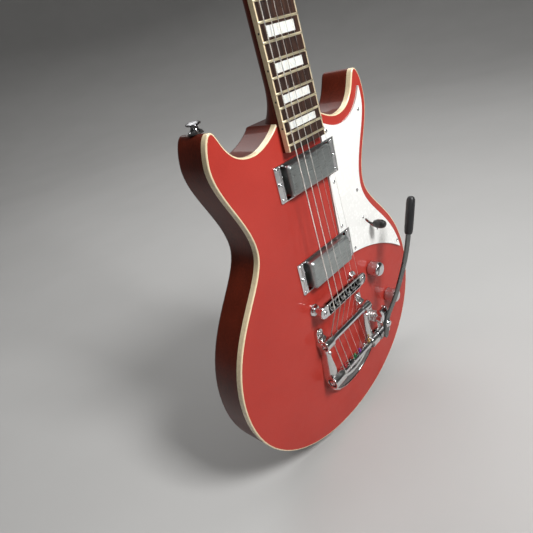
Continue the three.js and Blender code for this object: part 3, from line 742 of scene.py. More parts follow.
def neck():
    stations = ([NECK_START + (HEEL_PAST - NECK_START) * (i / 14) for i in range(15)]
                + [HEEL_PAST + (NUT_AT + 3 - HEEL_PAST) * i / 12 for i in range(1, 13)])
    rail = loft([neck_ring(z) for z in [10, 13, *stations]])
    body_space = box(-60, 60, -60, 0.1, 100, NECK_JOINT[1]).moved(BOARD_FRAME.inverted() @ TOP_FRAME)
    piece("neck_wood", rail, MAHOGANY, "mahogany", nodes=["neck"], cuts=[body_space], frame_of=BOARD_FRAME)
    ledge = box(-28.1, 28.1, -12, -BOARD_THICKNESS, -BOARD_END_PAST_FRETS, 26)
    piece("neck_ledge", ledge, MAHOGANY, "mahogany", cuts=[body_space], frame_of=BOARD_FRAME)
    face = plate(head_outline(), -HEAD_THICKNESS, 0, edges=(2.5, 1), steps=5)
    holes = [turned(disc(4.4, -30, 10), at(x, 0, z), sides=24) for _, x, z in tuner_spots()]
    piece("headstock", face, MAHOGANY, "mahogany", cuts=holes, frame_of=HEAD_FRAME)


def tuner_spots():
    """(number, x, z) of each string post, in the headstock's frame."""
    return [(row + 1, -TUNER_X, z) for row, z in enumerate(TUNER_ROWS)] + [
        (6 - row, TUNER_X, z) for row, z in enumerate(TUNER_ROWS)]


# ---- Fretboard ----------------------------------------------------------------------------------

INLAY_FRETS = (3, 5, 7, 9, 12, 15, 17, 19, 21)
BOARD_BINDING = 1.7
FRET_WIDTH = 2.3
FRET_HEIGHT = 1.0


def crown(x, z):
    """The board's height below its middle."""
    return -BOARD_CROWN * (x / half_width(z)) ** 2


def board_row(x0, x1, z, low, lift=0.0, steps=16):
    top = [x0 + (x1 - x0) * i / steps for i in range(steps + 1)]
    return ([Vector((x1, -low, z)), Vector((x0, -low, z))]
            + [Vector((x, -(crown(x, z) + lift), z)) for x in top])


def fretboard():
    ends = (-BOARD_END_PAST_FRETS, NUT_AT - 0.3)
    edge = BOARD_BINDING
    wood = loft([board_row(-half_width(z) + edge, half_width(z) - edge, z, -BOARD_THICKNESS) for z in ends])
    piece("board_wood", wood, ROSEWOOD, "rosewood", nodes=["fretboard"], bevel=0.15, frame_of=BOARD_FRAME)
    strips = together(
        loft([board_row(a * half_width(z) - (edge if a > 0 else 0),
                        a * half_width(z) + (edge if a < 0 else 0), z,
                        -BOARD_THICKNESS, steps=2) for z in ends]) for a in SIDES)
    piece("board_binding", strips, CREAM, "cream_plastic", bevel=0.35, frame_of=BOARD_FRAME)
    frets = together(fret(fret_z(n) - BOARD_START) for n in range(1, FRETS + 1))
    piece("frets", frets, FRET_METAL, "steel", crease=60, frame_of=BOARD_FRAME)
    blocks = together(inlay(n) for n in INLAY_FRETS)
    piece("inlays", blocks, PEARL, "cream_plastic", frame_of=BOARD_FRAME)
    piece("side_dots", together(side_dots()), BLACK, "black_plastic", frame_of=BOARD_FRAME)


def fret(z):
    """A crowned wire across the board, with its ends bevelled inwards."""
    rows = []
    wide = half_width(z)
    count = 20
    for i in range(count + 1):
        x = -wide + 2 * wide * i / count
        share = 0.35 if i in (0, count) else 1
        profile = [PI * k / 8 for k in range(9)]
        rows.append([Vector((x, -(crown(x, z) + FRET_HEIGHT * share * math.sin(a)),
                             z + FRET_WIDTH / 2 * math.cos(a)))
                     for a in profile] + [Vector((x, 1, z - 0.3)), Vector((x, 1, z + 0.3))])
    return loft(rows)


def inlay(number):
    high = fret_z(number - 1) - BOARD_START
    low = fret_z(number) - BOARD_START
    middle, reach = (low + high) / 2, (high - low) * 0.29
    wide = half_width(middle) * 0.68
    rows = [board_row(-wide, wide, z, -1, lift=0.03, steps=10) for z in (middle - reach, middle + reach)]
    return loft(rows)


def side_dots():
    """Dots in the binding of the bass side, two at the octave."""
    for number in INLAY_FRETS:
        middle = (fret_z(number) + fret_z(number - 1)) / 2 - BOARD_START
        for shift in ((-4, 4) if number == 12 else (0,)):
            z = middle + shift
            yield turned(disc(1, 0, 0.06), (-half_width(z) + 0.01, 2.6, z), (-1, 0, 0), 16)


def nut():
    wide = BOARD_HALF_WIDTHS[1]
    ring = ((-wide, 6), (wide, 6), (wide, -0.4), (8, -1), (-8, -1), (-wide, -0.4))
    block = loft([[Vector((x, y, z)) for x, y in ring] for z in (NUT_AT, NUT_AT + 3.1)])
    slots = [tube([at(string_x(n, NUT_SPACING), 1.4, NUT_AT - 3),
                   at(string_x(n, NUT_SPACING), 1.1, NUT_AT + 8)],
                  STRING_GAUGES[n] / 2 + 0.15, 10) for n in range(6)]
    piece("nut_bone", block, BONE, "cream_plastic", nodes=["nut"], bevel=0.4, cuts=slots,
          frame_of=BOARD_FRAME)


def string_x(number, spacing):
    """A string's distance from the centre line, the thickest on the bass side."""
    return (number - 2.5) * spacing


# ---- Small fittings -----------------------------------------------------------------------------

SCREW_SIDES = 32
SCREW_RINGS = (1, 0.97, 0.85, 0.72, 0.66, 0.58, 0.45, 0.32, 0.2, 0.1, 0.0)
SCREW_SUNK = 0.6
SLOT_HALF = 0.15
SLOT_DEPTH = 0.45
CROSS_REACH = 0.62


def screw(x, height, z, radius=2.0, dome=0.9, towards=(0, -1, 0), twist=0.4, slotted=False):
    """A domed head with a cross or a single slot sunk in it."""
    turn = Vector(towards).to_track_quat("Z", "X").to_matrix().to_4x4()
    place = Matrix.Translation(at(x, height, z)) @ turn @ Matrix.Rotation(twist, 4, "Z")
    angles = full_turn(SCREW_SIDES)
    rows = [[place @ Vector((radius * math.cos(a), radius * math.sin(a), -SCREW_SUNK)) for a in angles]]
    for share in SCREW_RINGS:
        row = []
        for angle in angles:
            u, v = share * math.cos(angle), share * math.sin(angle)
            sunk = (abs(v) < SLOT_HALF if slotted
                    else min(abs(u), abs(v)) < SLOT_HALF and share < CROSS_REACH)
            top = dome * math.sqrt(max(0, 1 - 0.9 * share ** 2)) - (SLOT_DEPTH * dome if sunk else 0)
            row.append(place @ Vector((radius * u, radius * v, top)))
        rows.append(row)
    return loft(rows)


def toothed_ring(centre, radius, height, sides, depth):
    """A level ring of points, each drawn in by the depth given for its number."""
    x, z = centre
    return [at(x + (radius - depth(i)) * math.cos(a), height, z + (radius - depth(i)) * math.sin(a))
            for i, a in enumerate(full_turn(sides))]


def rounded_loft(sections):
    """A block whose outline changes with height: sections are (height, length, width, corner, (x, z))."""
    return loft([[Vector((x, -height, z)) for x, z in rectangle(length, width, corner, centre)]
                 for height, length, width, corner, centre in sections])


# ---- Pickguard ----------------------------------------------------------------------------------

GUARD_INSET = 10.5
GUARD_LEFT = 29.2
GUARD_ARC = ((18.3, -187.8), 213.7)
GUARD_PLIES = (("guard_lower_ply", 0.1, 0.8), ("guard_black_ply", 0.8, 1.35), ("guard_top_ply", 1.35, 2.4))
GUARD_SCREWS = ((100.1, 175.1), (38.1, 170.2), (35.7, 116.2), (74.1, 91.4), (35.3, 64.4), (52.6, 27.6),
                (143.9, -7.9))
SWITCH_LEAN = math.radians(47)
SWITCH_SLOT = (26, 3.0)
SWITCH_SCREWS = 18.5
RING = dict(length=93.7, width=36.4, thickness=1.7, hole=(78, 32.7))


def switch_frame():
    x, z = across("selector_throw")
    return Matrix.Translation((x, 0, z)) @ Matrix.Rotation(SWITCH_LEAN, 4, "Y")


def pickguard():
    (arc_x, arc_z), arc_radius = GUARD_ARC
    edge = [(x, arc_z + math.sqrt(arc_radius ** 2 - (x - arc_x) ** 2)) for x in range(20, 181, 4)]
    below = plate([(20, -260), (180, -260), *reversed(edge)], -5, 10)
    beside = box(-250, GUARD_LEFT, -5, 10, -250, 250)
    rings = [box(-47.2, 47.2, -5, 10, z - 18.6, z + 18.6) for z in PICKUPS.values()]
    length, width = SWITCH_SLOT
    slot = plate(rectangle(length, width, width / 2.01), -5, 10).moved(switch_frame())
    outline = inset(OUTLINE, GUARD_INSET)
    for name, low, high in GUARD_PLIES:
        top = name == "guard_top_ply"
        piece(name, plate(outline, low, high), BLACK_PLY if "black" in name else WHITE, "white_plastic",
              nodes=["pickguard"] if top else (), bevel=0.35 if top else 0,
              cuts=[below, beside, *rings, slot])
    screws = [screw(x, GUARD_PLIES[-1][2], z, 2.0, twist=0.3 + x) for x, z in GUARD_SCREWS]
    screws += [screw(0, GUARD_PLIES[-1][2], 0, 1.6,
                     slotted=True).moved(switch_frame() @ Matrix.Translation((side, 0, 0)))
               for side in (-SWITCH_SCREWS, SWITCH_SCREWS)]
    chromed("guard_screws", together(screws), crease=30)


# ---- Pickups ------------------------------------------------------------------------------------

PICKUP_TOPS = {"neck": 9.0, "bridge": 10.5}
COVER_BASE = (68.5, 31.4)
COVER_FACE = (65.2, 27.2)
COVER_DROP = 2.6


def pickup(name):
    z = PICKUPS[name]
    top = PICKUP_TOPS[name]
    hole = rectangle(*RING["hole"], 1.2, (0, z))
    ring = plate(rectangle(RING["length"], RING["width"], 2.2, (0, z)), 0.1, RING["thickness"],
                 holes=[hole], edges=(0, 0.6), hole_edge=0.3)
    lip = plate(rectangle(RING["hole"][0] + 3, RING["hole"][1] + 2.2, 1.6, (0, z)), 0.1,
                RING["thickness"] + 0.7, holes=[hole], edges=(0, 0.5), hole_edge=0.3)
    chromed(f"ring_{name}", ring + lip, nodes=[f"pickup_ring_{name}"])
    (long, wide), (face_long, face_wide) = COVER_BASE, COVER_FACE
    drop = top - COVER_DROP
    sections = [(-11, long, wide, 3.2), (drop - 0.5, long, wide, 3.2),
                (drop, long - 0.15, wide - 0.15, 3.2),
                (drop + 0.35, long - 0.7, wide - 0.8, 3.1),
                (top - 0.5, face_long + 0.8, face_wide + 0.9, 2.6),
                (top - 0.12, face_long + 0.1, face_wide + 0.15, 2.5),
                (top, face_long - 0.9, face_wide - 0.9, 2.2)]
    cover = rounded_loft([(h, a, b, c, (0, z)) for h, a, b, c in sections])
    piece(f"cover_{name}", cover, COVERS, "brushed_nickel", nodes=[f"pickup_cover_{name}"], crease=50)
    ends = together(rounded_loft([(h, 6.6 - s, 24 - s, 1.5, (side * 36.6, z))
                                  for h, s in ((-14, 0), (-1.5, 0), (-0.6, 0.8))])
                    for side in SIDES)
    floor = box(-42, 42, -15.8, -13, z - 16.5, z + 16.5)
    piece(f"coils_{name}", ends + floor, DARK_PARTS_AND_SHADE, "black_plastic", nodes=[f"pickup_coils_{name}"], bevel=0.3)
    small = [screw(side * 36.8, -0.4, z + 6, 1.3) for side in SIDES]
    corners = [screw(x * 43.3, RING["thickness"], z + s * 15, 1.7, twist=x + s)
               for x in SIDES for s in SIDES]
    height_screws = [screw(x * 43.2, RING["thickness"] + 0.5, z, 2.2, 1.3) for x in SIDES]
    chromed(f"pickup_screws_{name}", together(small + corners + height_screws), crease=30)


# ---- Bridge -------------------------------------------------------------------------------------

BRIDGE_Z = -3
POST_X = 37
BRIDGE_TOP = 17
SADDLE_OFFSETS = (-0.8, -0.4, 0.1, -0.6, -0.1, 0.5)


def bridge():
    z = BRIDGE_Z
    wings = plate(capsule((-POST_X, z), (POST_X, z), 7.1), 12.6, 16.6, edges=(0.8, 1.2))
    middle = plate(rectangle(66, 14.2, 2, (0, z)), 11.1, BRIDGE_TOP, edges=(0.6, 0.9))
    channel = plate(rectangle(62, 11.2, 1, (0, z)), 12.7, 30)
    holes = [turned(disc(3.3, 0, 30), at(side * POST_X, 0, z)) for side in SIDES]
    chromed("bridge_wings", wings, nodes=["bridge_body"], cuts=[channel, *holes])
    chromed("bridge_channel", middle, bevel=0.15, cuts=[channel, *holes])
    for name, side in (("bass", -1), ("treble", 1)):
        bridge_post(name, side * POST_X)
    for number in range(6):
        saddle(number)


def bridge_post(name, x):
    foot = [(0, -20), (4.6, -20), (4.6, 0), (7.2, 0.1), (7.2, 1.7), (6.6, 2.5), (5.2, 2.9), (3.1, 3.1)]
    wheel = [(3.1, 9.4), (5.8, 9.4), (6.1, 9.8), (6.1, 12.0), (5.8, 12.4), (3.1, 12.4)]
    top = [(3.1, 16.2), (3.1, 16.9), (2.8, 17.2), (1.9, 17.2), (1.7, 16.3), (0, 16.2)]
    body_shape = turned(foot + wheel + top, at(x, 0, BRIDGE_Z))
    slot = box(x - 3.4, x + 3.4, 16.4, 18, BRIDGE_Z - 0.45, BRIDGE_Z + 0.45)
    chromed(f"post_{name}", body_shape, nodes=[f"bridge_post_{name}"], cuts=[slot], crease=30)


STRING_REST = 20.05
STRING_LEVEL_RUN = 2.4
STRING_APPROACH_DROP = 0.05
NOTCH_CLEARANCE = 0.22


def saddle(number):
    x = string_x(number, BRIDGE_SPACING)
    z = BRIDGE_Z + SADDLE_OFFSETS[number]
    side = [(z - 2.1, 13), (z + 2.1, 13), (z + 2.1, 16.8), (z + 0.5, 20), (z - 0.5, 20), (z - 2.1, 16.8)]
    block = on_side(plate(rounded(side, 0.5, 3), x - 3.6, x + 3.6, edges=(0.35, 0.35)))
    radius = STRING_GAUGES[number] / 2
    crest = STRING_REST + radius
    notch = tube([at(x, crest, z - 6), at(x, crest, z + 6)], radius + NOTCH_CLEARANCE, 12)
    chromed(f"saddle_{number + 1}_block", block, body=f"saddle_{number + 1}",
            nodes=[f"saddle_{number + 1}"], cuts=[notch])
    head = screw(x, 14.9, BRIDGE_Z - 7.1, 1.7, 0.8, (0, 0, -1), slotted=True)
    shank = tube([at(x, 14.9, BRIDGE_Z - 7.0), at(x, 14.9, BRIDGE_Z + 5.4)], 0.85, 12)
    chromed(f"saddle_screw_{number + 1}", head + shank, crease=30)


# ---- Vibrato ------------------------------------------------------------------------------------

ROLLER_RADIUS = 4
BOSS_X = 33.2
GROOVE = dict(place=11.3, radius=4.5, depth=0.25)
BASS_GROOVE = dict(x=-46.5, radius=5.4)
FOOT_X = 39.5
PIN_OFFSET = 4.4
PIN_TOWARDS = (0, -0.34, 0.94)
SHAFT_RADIUS = 4.5
FRAME_INNER = dict(x=33, z=-84, reach=25)
FRAME_OUTER = dict(x=46, z=-100, reach=34)
SPRING = dict(x=53.3, z=-68, low=5.3, high=18.1, radius=6, wire=0.95, turns=3.4)
PANEL_SHARES = (0.23, 0.79)
ROW_SHARES = (0, 0.02, 0.06, 0.12, 0.2, 0.229, 0.231, 0.35, 0.5, 0.65, 0.789, 0.791, 0.82, 0.88, 0.94, 0.98,
              1)


def frame_row(inner, outer, crest, sunk=0.0):
    """A cross-section of the casting from the inside outwards, domed, with a sunk panel if asked."""
    row = [Vector((inner[0], -0.35, inner[1]))]
    for share in ROW_SHARES:
        x = inner[0] + (outer[0] - inner[0]) * share
        z = inner[1] + (outer[1] - inner[1]) * share
        in_panel = PANEL_SHARES[0] < share < PANEL_SHARES[1]
        row.append(Vector((x, -row_height(crest, share) + (sunk if in_panel else 0), z)))
    row.append(Vector((outer[0], -0.35, outer[1])))
    return row


def smooth(share):
    """Eases from 0 to 1."""
    share = min(1, max(0, share))
    return share * share * (3 - 2 * share)


def row_height(crest, share):
    """Steep at both sides, highest a third of the way out, and lower towards the rim."""
    crown = (1 - abs(2 * share - 1) ** 2.6) ** 0.5
    fall = crest.fall * max(0.0, share - 0.15)
    return max(0.9, (crest.top - fall) * (0.45 + 0.55 * crown))


class Crest:
    """How high a cross-section stands, and how far it falls towards its outer side."""

    def __init__(self, top, fall=0.0):
        self.top = top
        self.fall = fall


ARM_STATIONS = (  # place along the arm, height, and how far each side is drawn in
    (-41, 10.5, 0.4, 0.2), (-46, 12.6, 0.2, 0), (-51, 12.2, 2.0, 1.4), (-57, 11.8, 3.2, 3.0),
    (-63, 12.2, 3.0, 2.2), (-70, 13.2, 1.6, 0.8), (-77, 14.2, 0.4, 0.2),
)


def bend_rows(sunk, steps=48):
    inner, outer = FRAME_INNER, FRAME_OUTER
    rows = []
    for i in range(steps + 1):
        angle = PI * i / steps
        bend = math.sin(angle)
        start = (inner["x"] * math.cos(angle), inner["z"] - inner["reach"] * bend)
        end = (outer["x"] * math.cos(angle), outer["z"] - outer["reach"] * bend)
        crest = Crest(14.6 - 4.2 * bend ** 0.8, 7.0 * bend)
        rows.append((angle, frame_row(start, end, crest, sunk * min(1, max(0, (bend - 0.3) / 0.08)))))
    return rows


def vibrato_frame():
    inner, outer = FRAME_INNER, FRAME_OUTER
    arms = []
    for z, top, inside, outside in ARM_STATIONS:
        lag = 16 * smooth((-46 - z) / 38)
        arms.append(((inner["x"] + inside, z), (outer["x"] - outside, z - lag), Crest(top)))
    right = [frame_row(a, b, crest) for a, b, crest in arms]
    left = [frame_row((-a[0], a[1]), (-b[0], b[1]), crest) for a, b, crest in reversed(arms)]
    bend = [row for _, row in bend_rows(0.9)]
    casting = loft(right + bend + left)
    shaft = JOINTS["vibrato_rock"]
    bore = tube([Vector((-60, shaft.y, shaft.z)), Vector((60, shaft.y, shaft.z))], SHAFT_RADIUS + 0.4, 32)
    piece("vibrato_casting", casting, POLISHED, "cast_aluminium", nodes=["vibrato_frame"], crease=50,
          cuts=[bore])
    panel = []
    for angle, row in bend_rows(0.82):
        if math.sin(angle) > 0.42:
            top = row[7:12]
            panel.append(top + [point + Vector((0, 0.5, 0)) for point in reversed(top)])
    piece("vibrato_panel", loft(panel), ENAMEL, "cast_aluminium", crease=50)
    vibrato_bosses()
    vibrato_feet()


def vibrato_bosses():
    """The ringed ends that hold the roller, and the bearings of the shaft, with dark discs of painted shade round
    the screws at their ends.
    """
    roller, shaft = JOINTS["roller_spin"], JOINTS["vibrato_rock"]
    ringed = [(0.98, 0.6), (0.98, 11.6), (0.94, 12.3), (0.82, 12.7), (0.7, 12.7), (0.66, 12.1),
              (0.66, 11.3), (0.48, 11.3), (0.45, 12.2), (0.3, 12.5), (0.28, 11.9), (0, 11.9)]
    tip = ([(2.6, 0), (6.6, 0)] + [(r * 6.7, along) for r, along in ringed]
           + [(0, 11.6), (2.6, 11.6), (2.6, 0)])
    tips = together(turned(tip, Vector((side * BOSS_X, roller.y, roller.z)), (side, 0, 0), 48)
                    for side in SIDES)
    bass = [(4.9, 0), (7.2, 0), (7.9, 0.8)] + [(r * 8.1, along + 6.2) for r, along in ringed]
    bearing = turned(bass + [(0, 17.4), (4.9, 17.4), (4.9, 0)], Vector((-29, shaft.y, shaft.z)),
                     (-1, 0, 0), 48)
    treble = turned([(4.9, 0), (7.4, 0), (8, 0.6), (8, 12), (7.4, 12.6), (4.9, 12.6), (4.9, 0)],
                    Vector((34, shaft.y, shaft.z)), (1, 0, 0), 48)
    piece("vibrato_bosses", tips + treble, POLISHED, "cast_aluminium", crease=45)
    # Painted shade: thin dark discs at the ends of the bosses, round the screws, where the grooves there would lie
    # in shade.
    grooves = [(GROOVE["radius"], side * (BOSS_X + GROOVE["place"]), roller, side) for side in (1, -1)]
    grooves.append((BASS_GROOVE["radius"], BASS_GROOVE["x"], shaft, -1))
    rings = together(turned(disc(radius, 0, GROOVE["depth"]), Vector((x, axis.y, axis.z)), (side, 0, 0), 40)
                     for radius, x, axis, side in grooves)
    piece("vibrato_ring_painted_shade", rings, DARK_PARTS_AND_SHADE, "cast_aluminium")
    heads = [screw(x, -roller.y, roller.z, 2.5, 1.2, (math.copysign(1, x), 0, 0)) for x in (-44.7, 44.7)]
    heads.append(screw(-46.7, -shaft.y, shaft.z, 3.3, 1.5, (-1, 0, 0)))
    chromed("vibrato_boss_screws", together(heads), crease=30)
    piece("vibrato_bass_bearing", bearing, POLISHED, "cast_aluminium", crease=45)


def vibrato_feet():
    """The feet under the arms, the spring's pad and the screws that hold the casting down."""
    toe = rounded([(-5.5, -42), (5.5, -42), (5.1, -30), (2.5, -27.2), (-2.5, -27.2), (-5.1, -30)], 1.2, 3)
    toes = together(plate([(side * FOOT_X + x, z) for x, z in toe], 0.4, 3.8, edges=(0, 0.7))
                    for side in SIDES)
    slope = [(-44, 0.6), (-35.6, 0.6), (-35.6, 4), (-39.5, 9.5), (-44, 12)]
    slopes = together(on_side(plate(slope, side * FOOT_X - 4.6, side * FOOT_X + 4.6, edges=(0.8, 0.8)))
                      for side in SIDES)
    pad = turned([(0, 0.4), (9.6, 0.4), (9.9, 1.0), (9.9, 3.6), (9.2, 4.6), (7.6, 4.9), (0, 4.9)],
                 at(SPRING["x"], 0, SPRING["z"]), sides=48)
    link = plate(rounded([(40, -75), (53, -77.8), (53, -58.2), (40, -61)], 2), 0.4, 4.3, edges=(0, 1))
    piece("vibrato_feet", toes + slopes + pad + link, POLISHED, "cast_aluminium", crease=45)
    mounts = [screw(side * FOOT_X, 3.7, -31.6, 2.7, 1.6) for side in SIDES]
    nubs = [turned([(0, 0), (2, 0), (2, 1.4), (1.5, 2), (0, 2.1)], at(side * 39.6, 11.2, -57), sides=24)
            for side in SIDES]
    chromed("vibrato_screws", together(mounts + nubs), crease=30)


def roller_bar():
    centre = JOINTS["roller_spin"]
    profile = [(0, -44.4), (2.4, -44.4), (2.4, -33.1), (3.0, -33), (4.6, -32.8), (4.7, -30.4),
               (4, -29.9), (4, 29.9), (4.7, 30.4), (4.6, 32.8), (3.0, 33), (2.4, 33.1),
               (2.4, 44.4), (0, 44.4)]
    bar = turned(profile, centre, (1, 0, 0), 48)
    chromed("roller_bar", bar, body="roller", nodes=["vibrato_roller"])


BALL_COLOURS = ((0.55, 0.04, 0.05), (0.03, 0.03, 0.035), (0.02, 0.3, 0.09), (0.22, 0.05, 0.4),
                (0.6, 0.6, 0.6), (0.6, 0.42, 0.14))


def shaft_and_pins():
    shaft = JOINTS["vibrato_rock"]
    profile = [(0, -46.2), (4.2, -46.2), (SHAFT_RADIUS, -45.8), (SHAFT_RADIUS, 47), (3.55, 47.3),
               (3.55, 59.6), (3.1, 60.1), (0, 60.1)]
    rod = turned(profile, Vector((0, shaft.y, shaft.z)), (1, 0, 0), 48)
    pins = [turned([(0, 0), (1.1, 0), (1.1, 9), (0.8, 9.5), (0, 9.6)],
                   at(string_x(n, BRIDGE_SPACING) + PIN_OFFSET, -shaft.y, shaft.z),
                   PIN_TOWARDS, 16) for n in range(6)]
    chromed("shaft_rod", rod + together(pins), body="rocker", nodes=["vibrato_shaft"])
    for number, colour in enumerate(BALL_COLOURS):
        x = string_x(number, BRIDGE_SPACING) + PIN_OFFSET
        ball = turned([(1.15, -0.9), (2.0, -1.5), (2.1, -1.2), (1.7, 0), (2.1, 1.2), (2.0, 1.5),
                       (1.15, 0.9), (1.15, -0.9)],
                      at(x, -shaft.y + 2.3, shaft.z + 6.8), PIN_TOWARDS, 24)
        tint = plated(f"ball {number + 1}", colour, 0.25)
        piece(f"ball_end_{number + 1}", ball, tint, "steel", body="rocker")


def arm_bracket():
    """The lever over the spring, clamped to the shaft's end."""
    shaft = JOINTS["vibrato_rock"]
    lever = [(-102, 12.5), (-101, 16.5), (-97.5, 20.5), (-92, 24.6), (-88, 25.3), (-60, 25.3),
             (-56.5, 24.3), (-56, 21), (-59, 19.4), (-82, 19.4), (-88.5, 12)]
    blade = on_side(plate(rounded(lever, 1.6, 5), 48.6, 62.4, edges=(1.1, 1.1)))
    clamp = turned([(3.7, 0), (6.9, 0), (7.4, 0.6), (7.4, 10), (6.9, 10.6), (3.7, 10.6), (3.7, 0)],
                   Vector((47.9, shaft.y, shaft.z)), (1, 0, 0), 40)
    chromed("bracket_lever", blade + clamp, body="rocker", nodes=["vibrato_arm_bracket"],
            crease=45)
    cap = turned([(0, 0), (5.2, 0), (5.9, 0.5), (5.9, 5.2), (5.4, 5.9), (4.6, 6.2), (2, 6.2), (1.8, 5.4),
                  (0, 5.4)],
                 at(60.3, -shaft.y, shaft.z), (1, 0, 0), 6)
    washer = turned([(0, 0), (7.2, 0), (7.6, 0.5), (7.6, 6.6), (7.2, 7.3), (5.6, 7.9), (3.2, 8.2),
                     (0, 8.3)],
                    at(SPRING["x"] + 1.2, 18.2, SPRING["z"]), sides=48)
    nut_side = turned([(0, 0), (2.6, 0), (3, 0.4), (3, 2.6), (2.4, 3.2), (0, 3.4)], at(62.2, 22.4, -64),
                      (1, 0, 0), 24)
    chromed("bracket_fittings", cap + washer + nut_side, body="rocker", crease=30)


def spring():
    """The coil between its foot on the body and its head on the rocker."""
    s = SPRING
    steps = 28
    points = []
    for i in range(int(s["turns"] * steps) + 1):
        angle = 2 * PI * i / steps
        share = i / (s["turns"] * steps)
        rise = s["low"] + s["wire"] + share * (s["high"] - s["low"] - 2 * s["wire"])
        points.append(at(s["x"] + s["radius"] * math.cos(angle), rise,
                         s["z"] + s["radius"] * math.sin(angle)))
    coil = piece("vibrato_coil", tube(points, s["wire"], 12), STEEL, "steel", body=None,
                 nodes=["vibrato_spring"], crease=70)
    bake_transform(coil)


ARM_PROFILE = ((-19, 1.3), (-12, 1.3), (-5, 1.3), (6, 1.4), (14, 3.3), (23, 6.2), (34, 9.5), (47, 12.6),
               (62, 15.6), (80, 18.6), (97, 20.4), (113, 21))
ARM_LOW = 25.5
ARM_LEAN = math.radians(21)
ARM_HALF_WIDTH = 4.7
ARM_HALF_THICKNESS = 1.25
ARM_ROUNDED_END = dict(start=19.2, length=4.6)
GRIP_PLACE = (21, 113)


def arm_frame():
    x, z = across("arm_swivel")
    return Matrix.Translation((x, 0, z)) @ Matrix.Rotation(ARM_LEAN, 4, "Y")


def arm():
    path = eased([at(0, ARM_LOW + rise, along) for along, rise in ARM_PROFILE], 6)
    rows = []
    for i, point in enumerate(path):
        along = (path[min(i + 1, len(path) - 1)] - path[max(i - 1, 0)]).normalized()
        up = Vector((1, 0, 0)).cross(along)
        share = min(1, (point.z + ARM_ROUNDED_END["start"]) / ARM_ROUNDED_END["length"])
        half = ARM_HALF_WIDTH * min(1, math.sqrt(max(0.0, 1 - (1 - share) ** 2)))
        thin = ARM_HALF_THICKNESS
        outline = rounded([(-half, -thin), (half, -thin), (half, thin), (-half, thin)], 0.9, 3)
        rows.append([point + Vector((1, 0, 0)) * a + up * b for a, b in outline])
    bar = loft(rows).moved(arm_frame())
    piece("arm_bar", bar, DARK_STEEL, "steel", body="arm", nodes=["vibrato_arm"], crease=50)
    bolt = turned([(0, -0.1), (4.6, -0.1), (4.9, 0.3), (4.9, 1.1), (4.3, 1.5), (3.9, 2.4), (3.0, 3.2),
                   (1.6, 3.7), (0, 3.9)],
                  at(0, ARM_LOW + 2.2, 0)).moved(arm_frame())
    chromed("arm_bolt", bolt, body="arm")
    grip = [(0, 0), (3.4, 0), (4.1, 0.6), (4.7, 3), (5.0, 8), (5.1, 22), (5.0, 36), (4.7, 40), (3.9, 42.4),
            (2.4, 43.7), (0, 44.1)]
    rise, along = GRIP_PLACE
    piece("arm_grip", turned(grip, at(0, ARM_LOW + rise, along), (0, 0, 1)).moved(arm_frame()), GRIP,
          "black_plastic", body="arm", nodes=["vibrato_arm_grip"])


# ---- Controls -----------------------------------------------------------------------------------

def knob(name):
    x, z = across(f"{name}_turn")
    profile = [(0, 3), (7, 3), (8.3, 1.5), (8.9, 1.5), (9.05, 2.0), (9.05, 2.4), (8.95, 2.7), (8.95, 12.8),
               (8.75, 13.4), (8.4, 14.4), (7.4, 15.5), (6, 16.2), (3.6, 16.8), (0, 17)]
    sides = 192
    rows = []
    for radius, along in profile:
        grip = 0.2 if 2.6 < along < 13 and radius > 8 else 0
        rows.append(toothed_ring((x, z), radius, along, sides, lambda i: grip * (i % 4 > 1)))
    skirt = next(i for i, (_, along) in enumerate(profile) if along > 13)
    piece(f"{name}_knob_skirt", loft(rows[:skirt + 1]), KNURLED, "polished_chrome", body=f"{name}_knob",
          nodes=[f"knob_{name}"], crease=50)
    chromed(f"{name}_knob_crown", loft(rows[skirt:]), body=f"{name}_knob", crease=50)
    nut_shape = turned([(0, 0), (6.4, 0), (6.4, 0.7), (5.6, 0.8), (5.2, 1.3), (0, 1.3)], at(x, 0, z),
                       sides=36)
    chromed(f"{name}_washer", nut_shape, crease=30)


def selector():
    stem = eased([at(0, -16, 0), at(0, 0, 0), at(0, 8.6, 0)], 4)
    rows = [[point + Vector((a, 0, b)) for a, b in rectangle(3.6 - 0.09 * i, 1.7, 0.7)]
            for i, point in enumerate(stem)]
    lever = loft(rows).moved(switch_frame())
    pivot = JOINTS["selector_throw"]
    tip = turned([(0, 7.8), (3.3, 7.8), (3.9, 8.1), (5.2, 11.6), (5.3, 12.2), (5.3, 18), (5.1, 18.8),
                  (3.9, 21.7), (3.4, 22.3), (2.6, 22.6), (0, 22.7)], Vector((pivot.x, 0, pivot.z)))
    piece("selector_tip", lever + tip, BLACK, "black_plastic", body="selector", nodes=["switch_lever"])


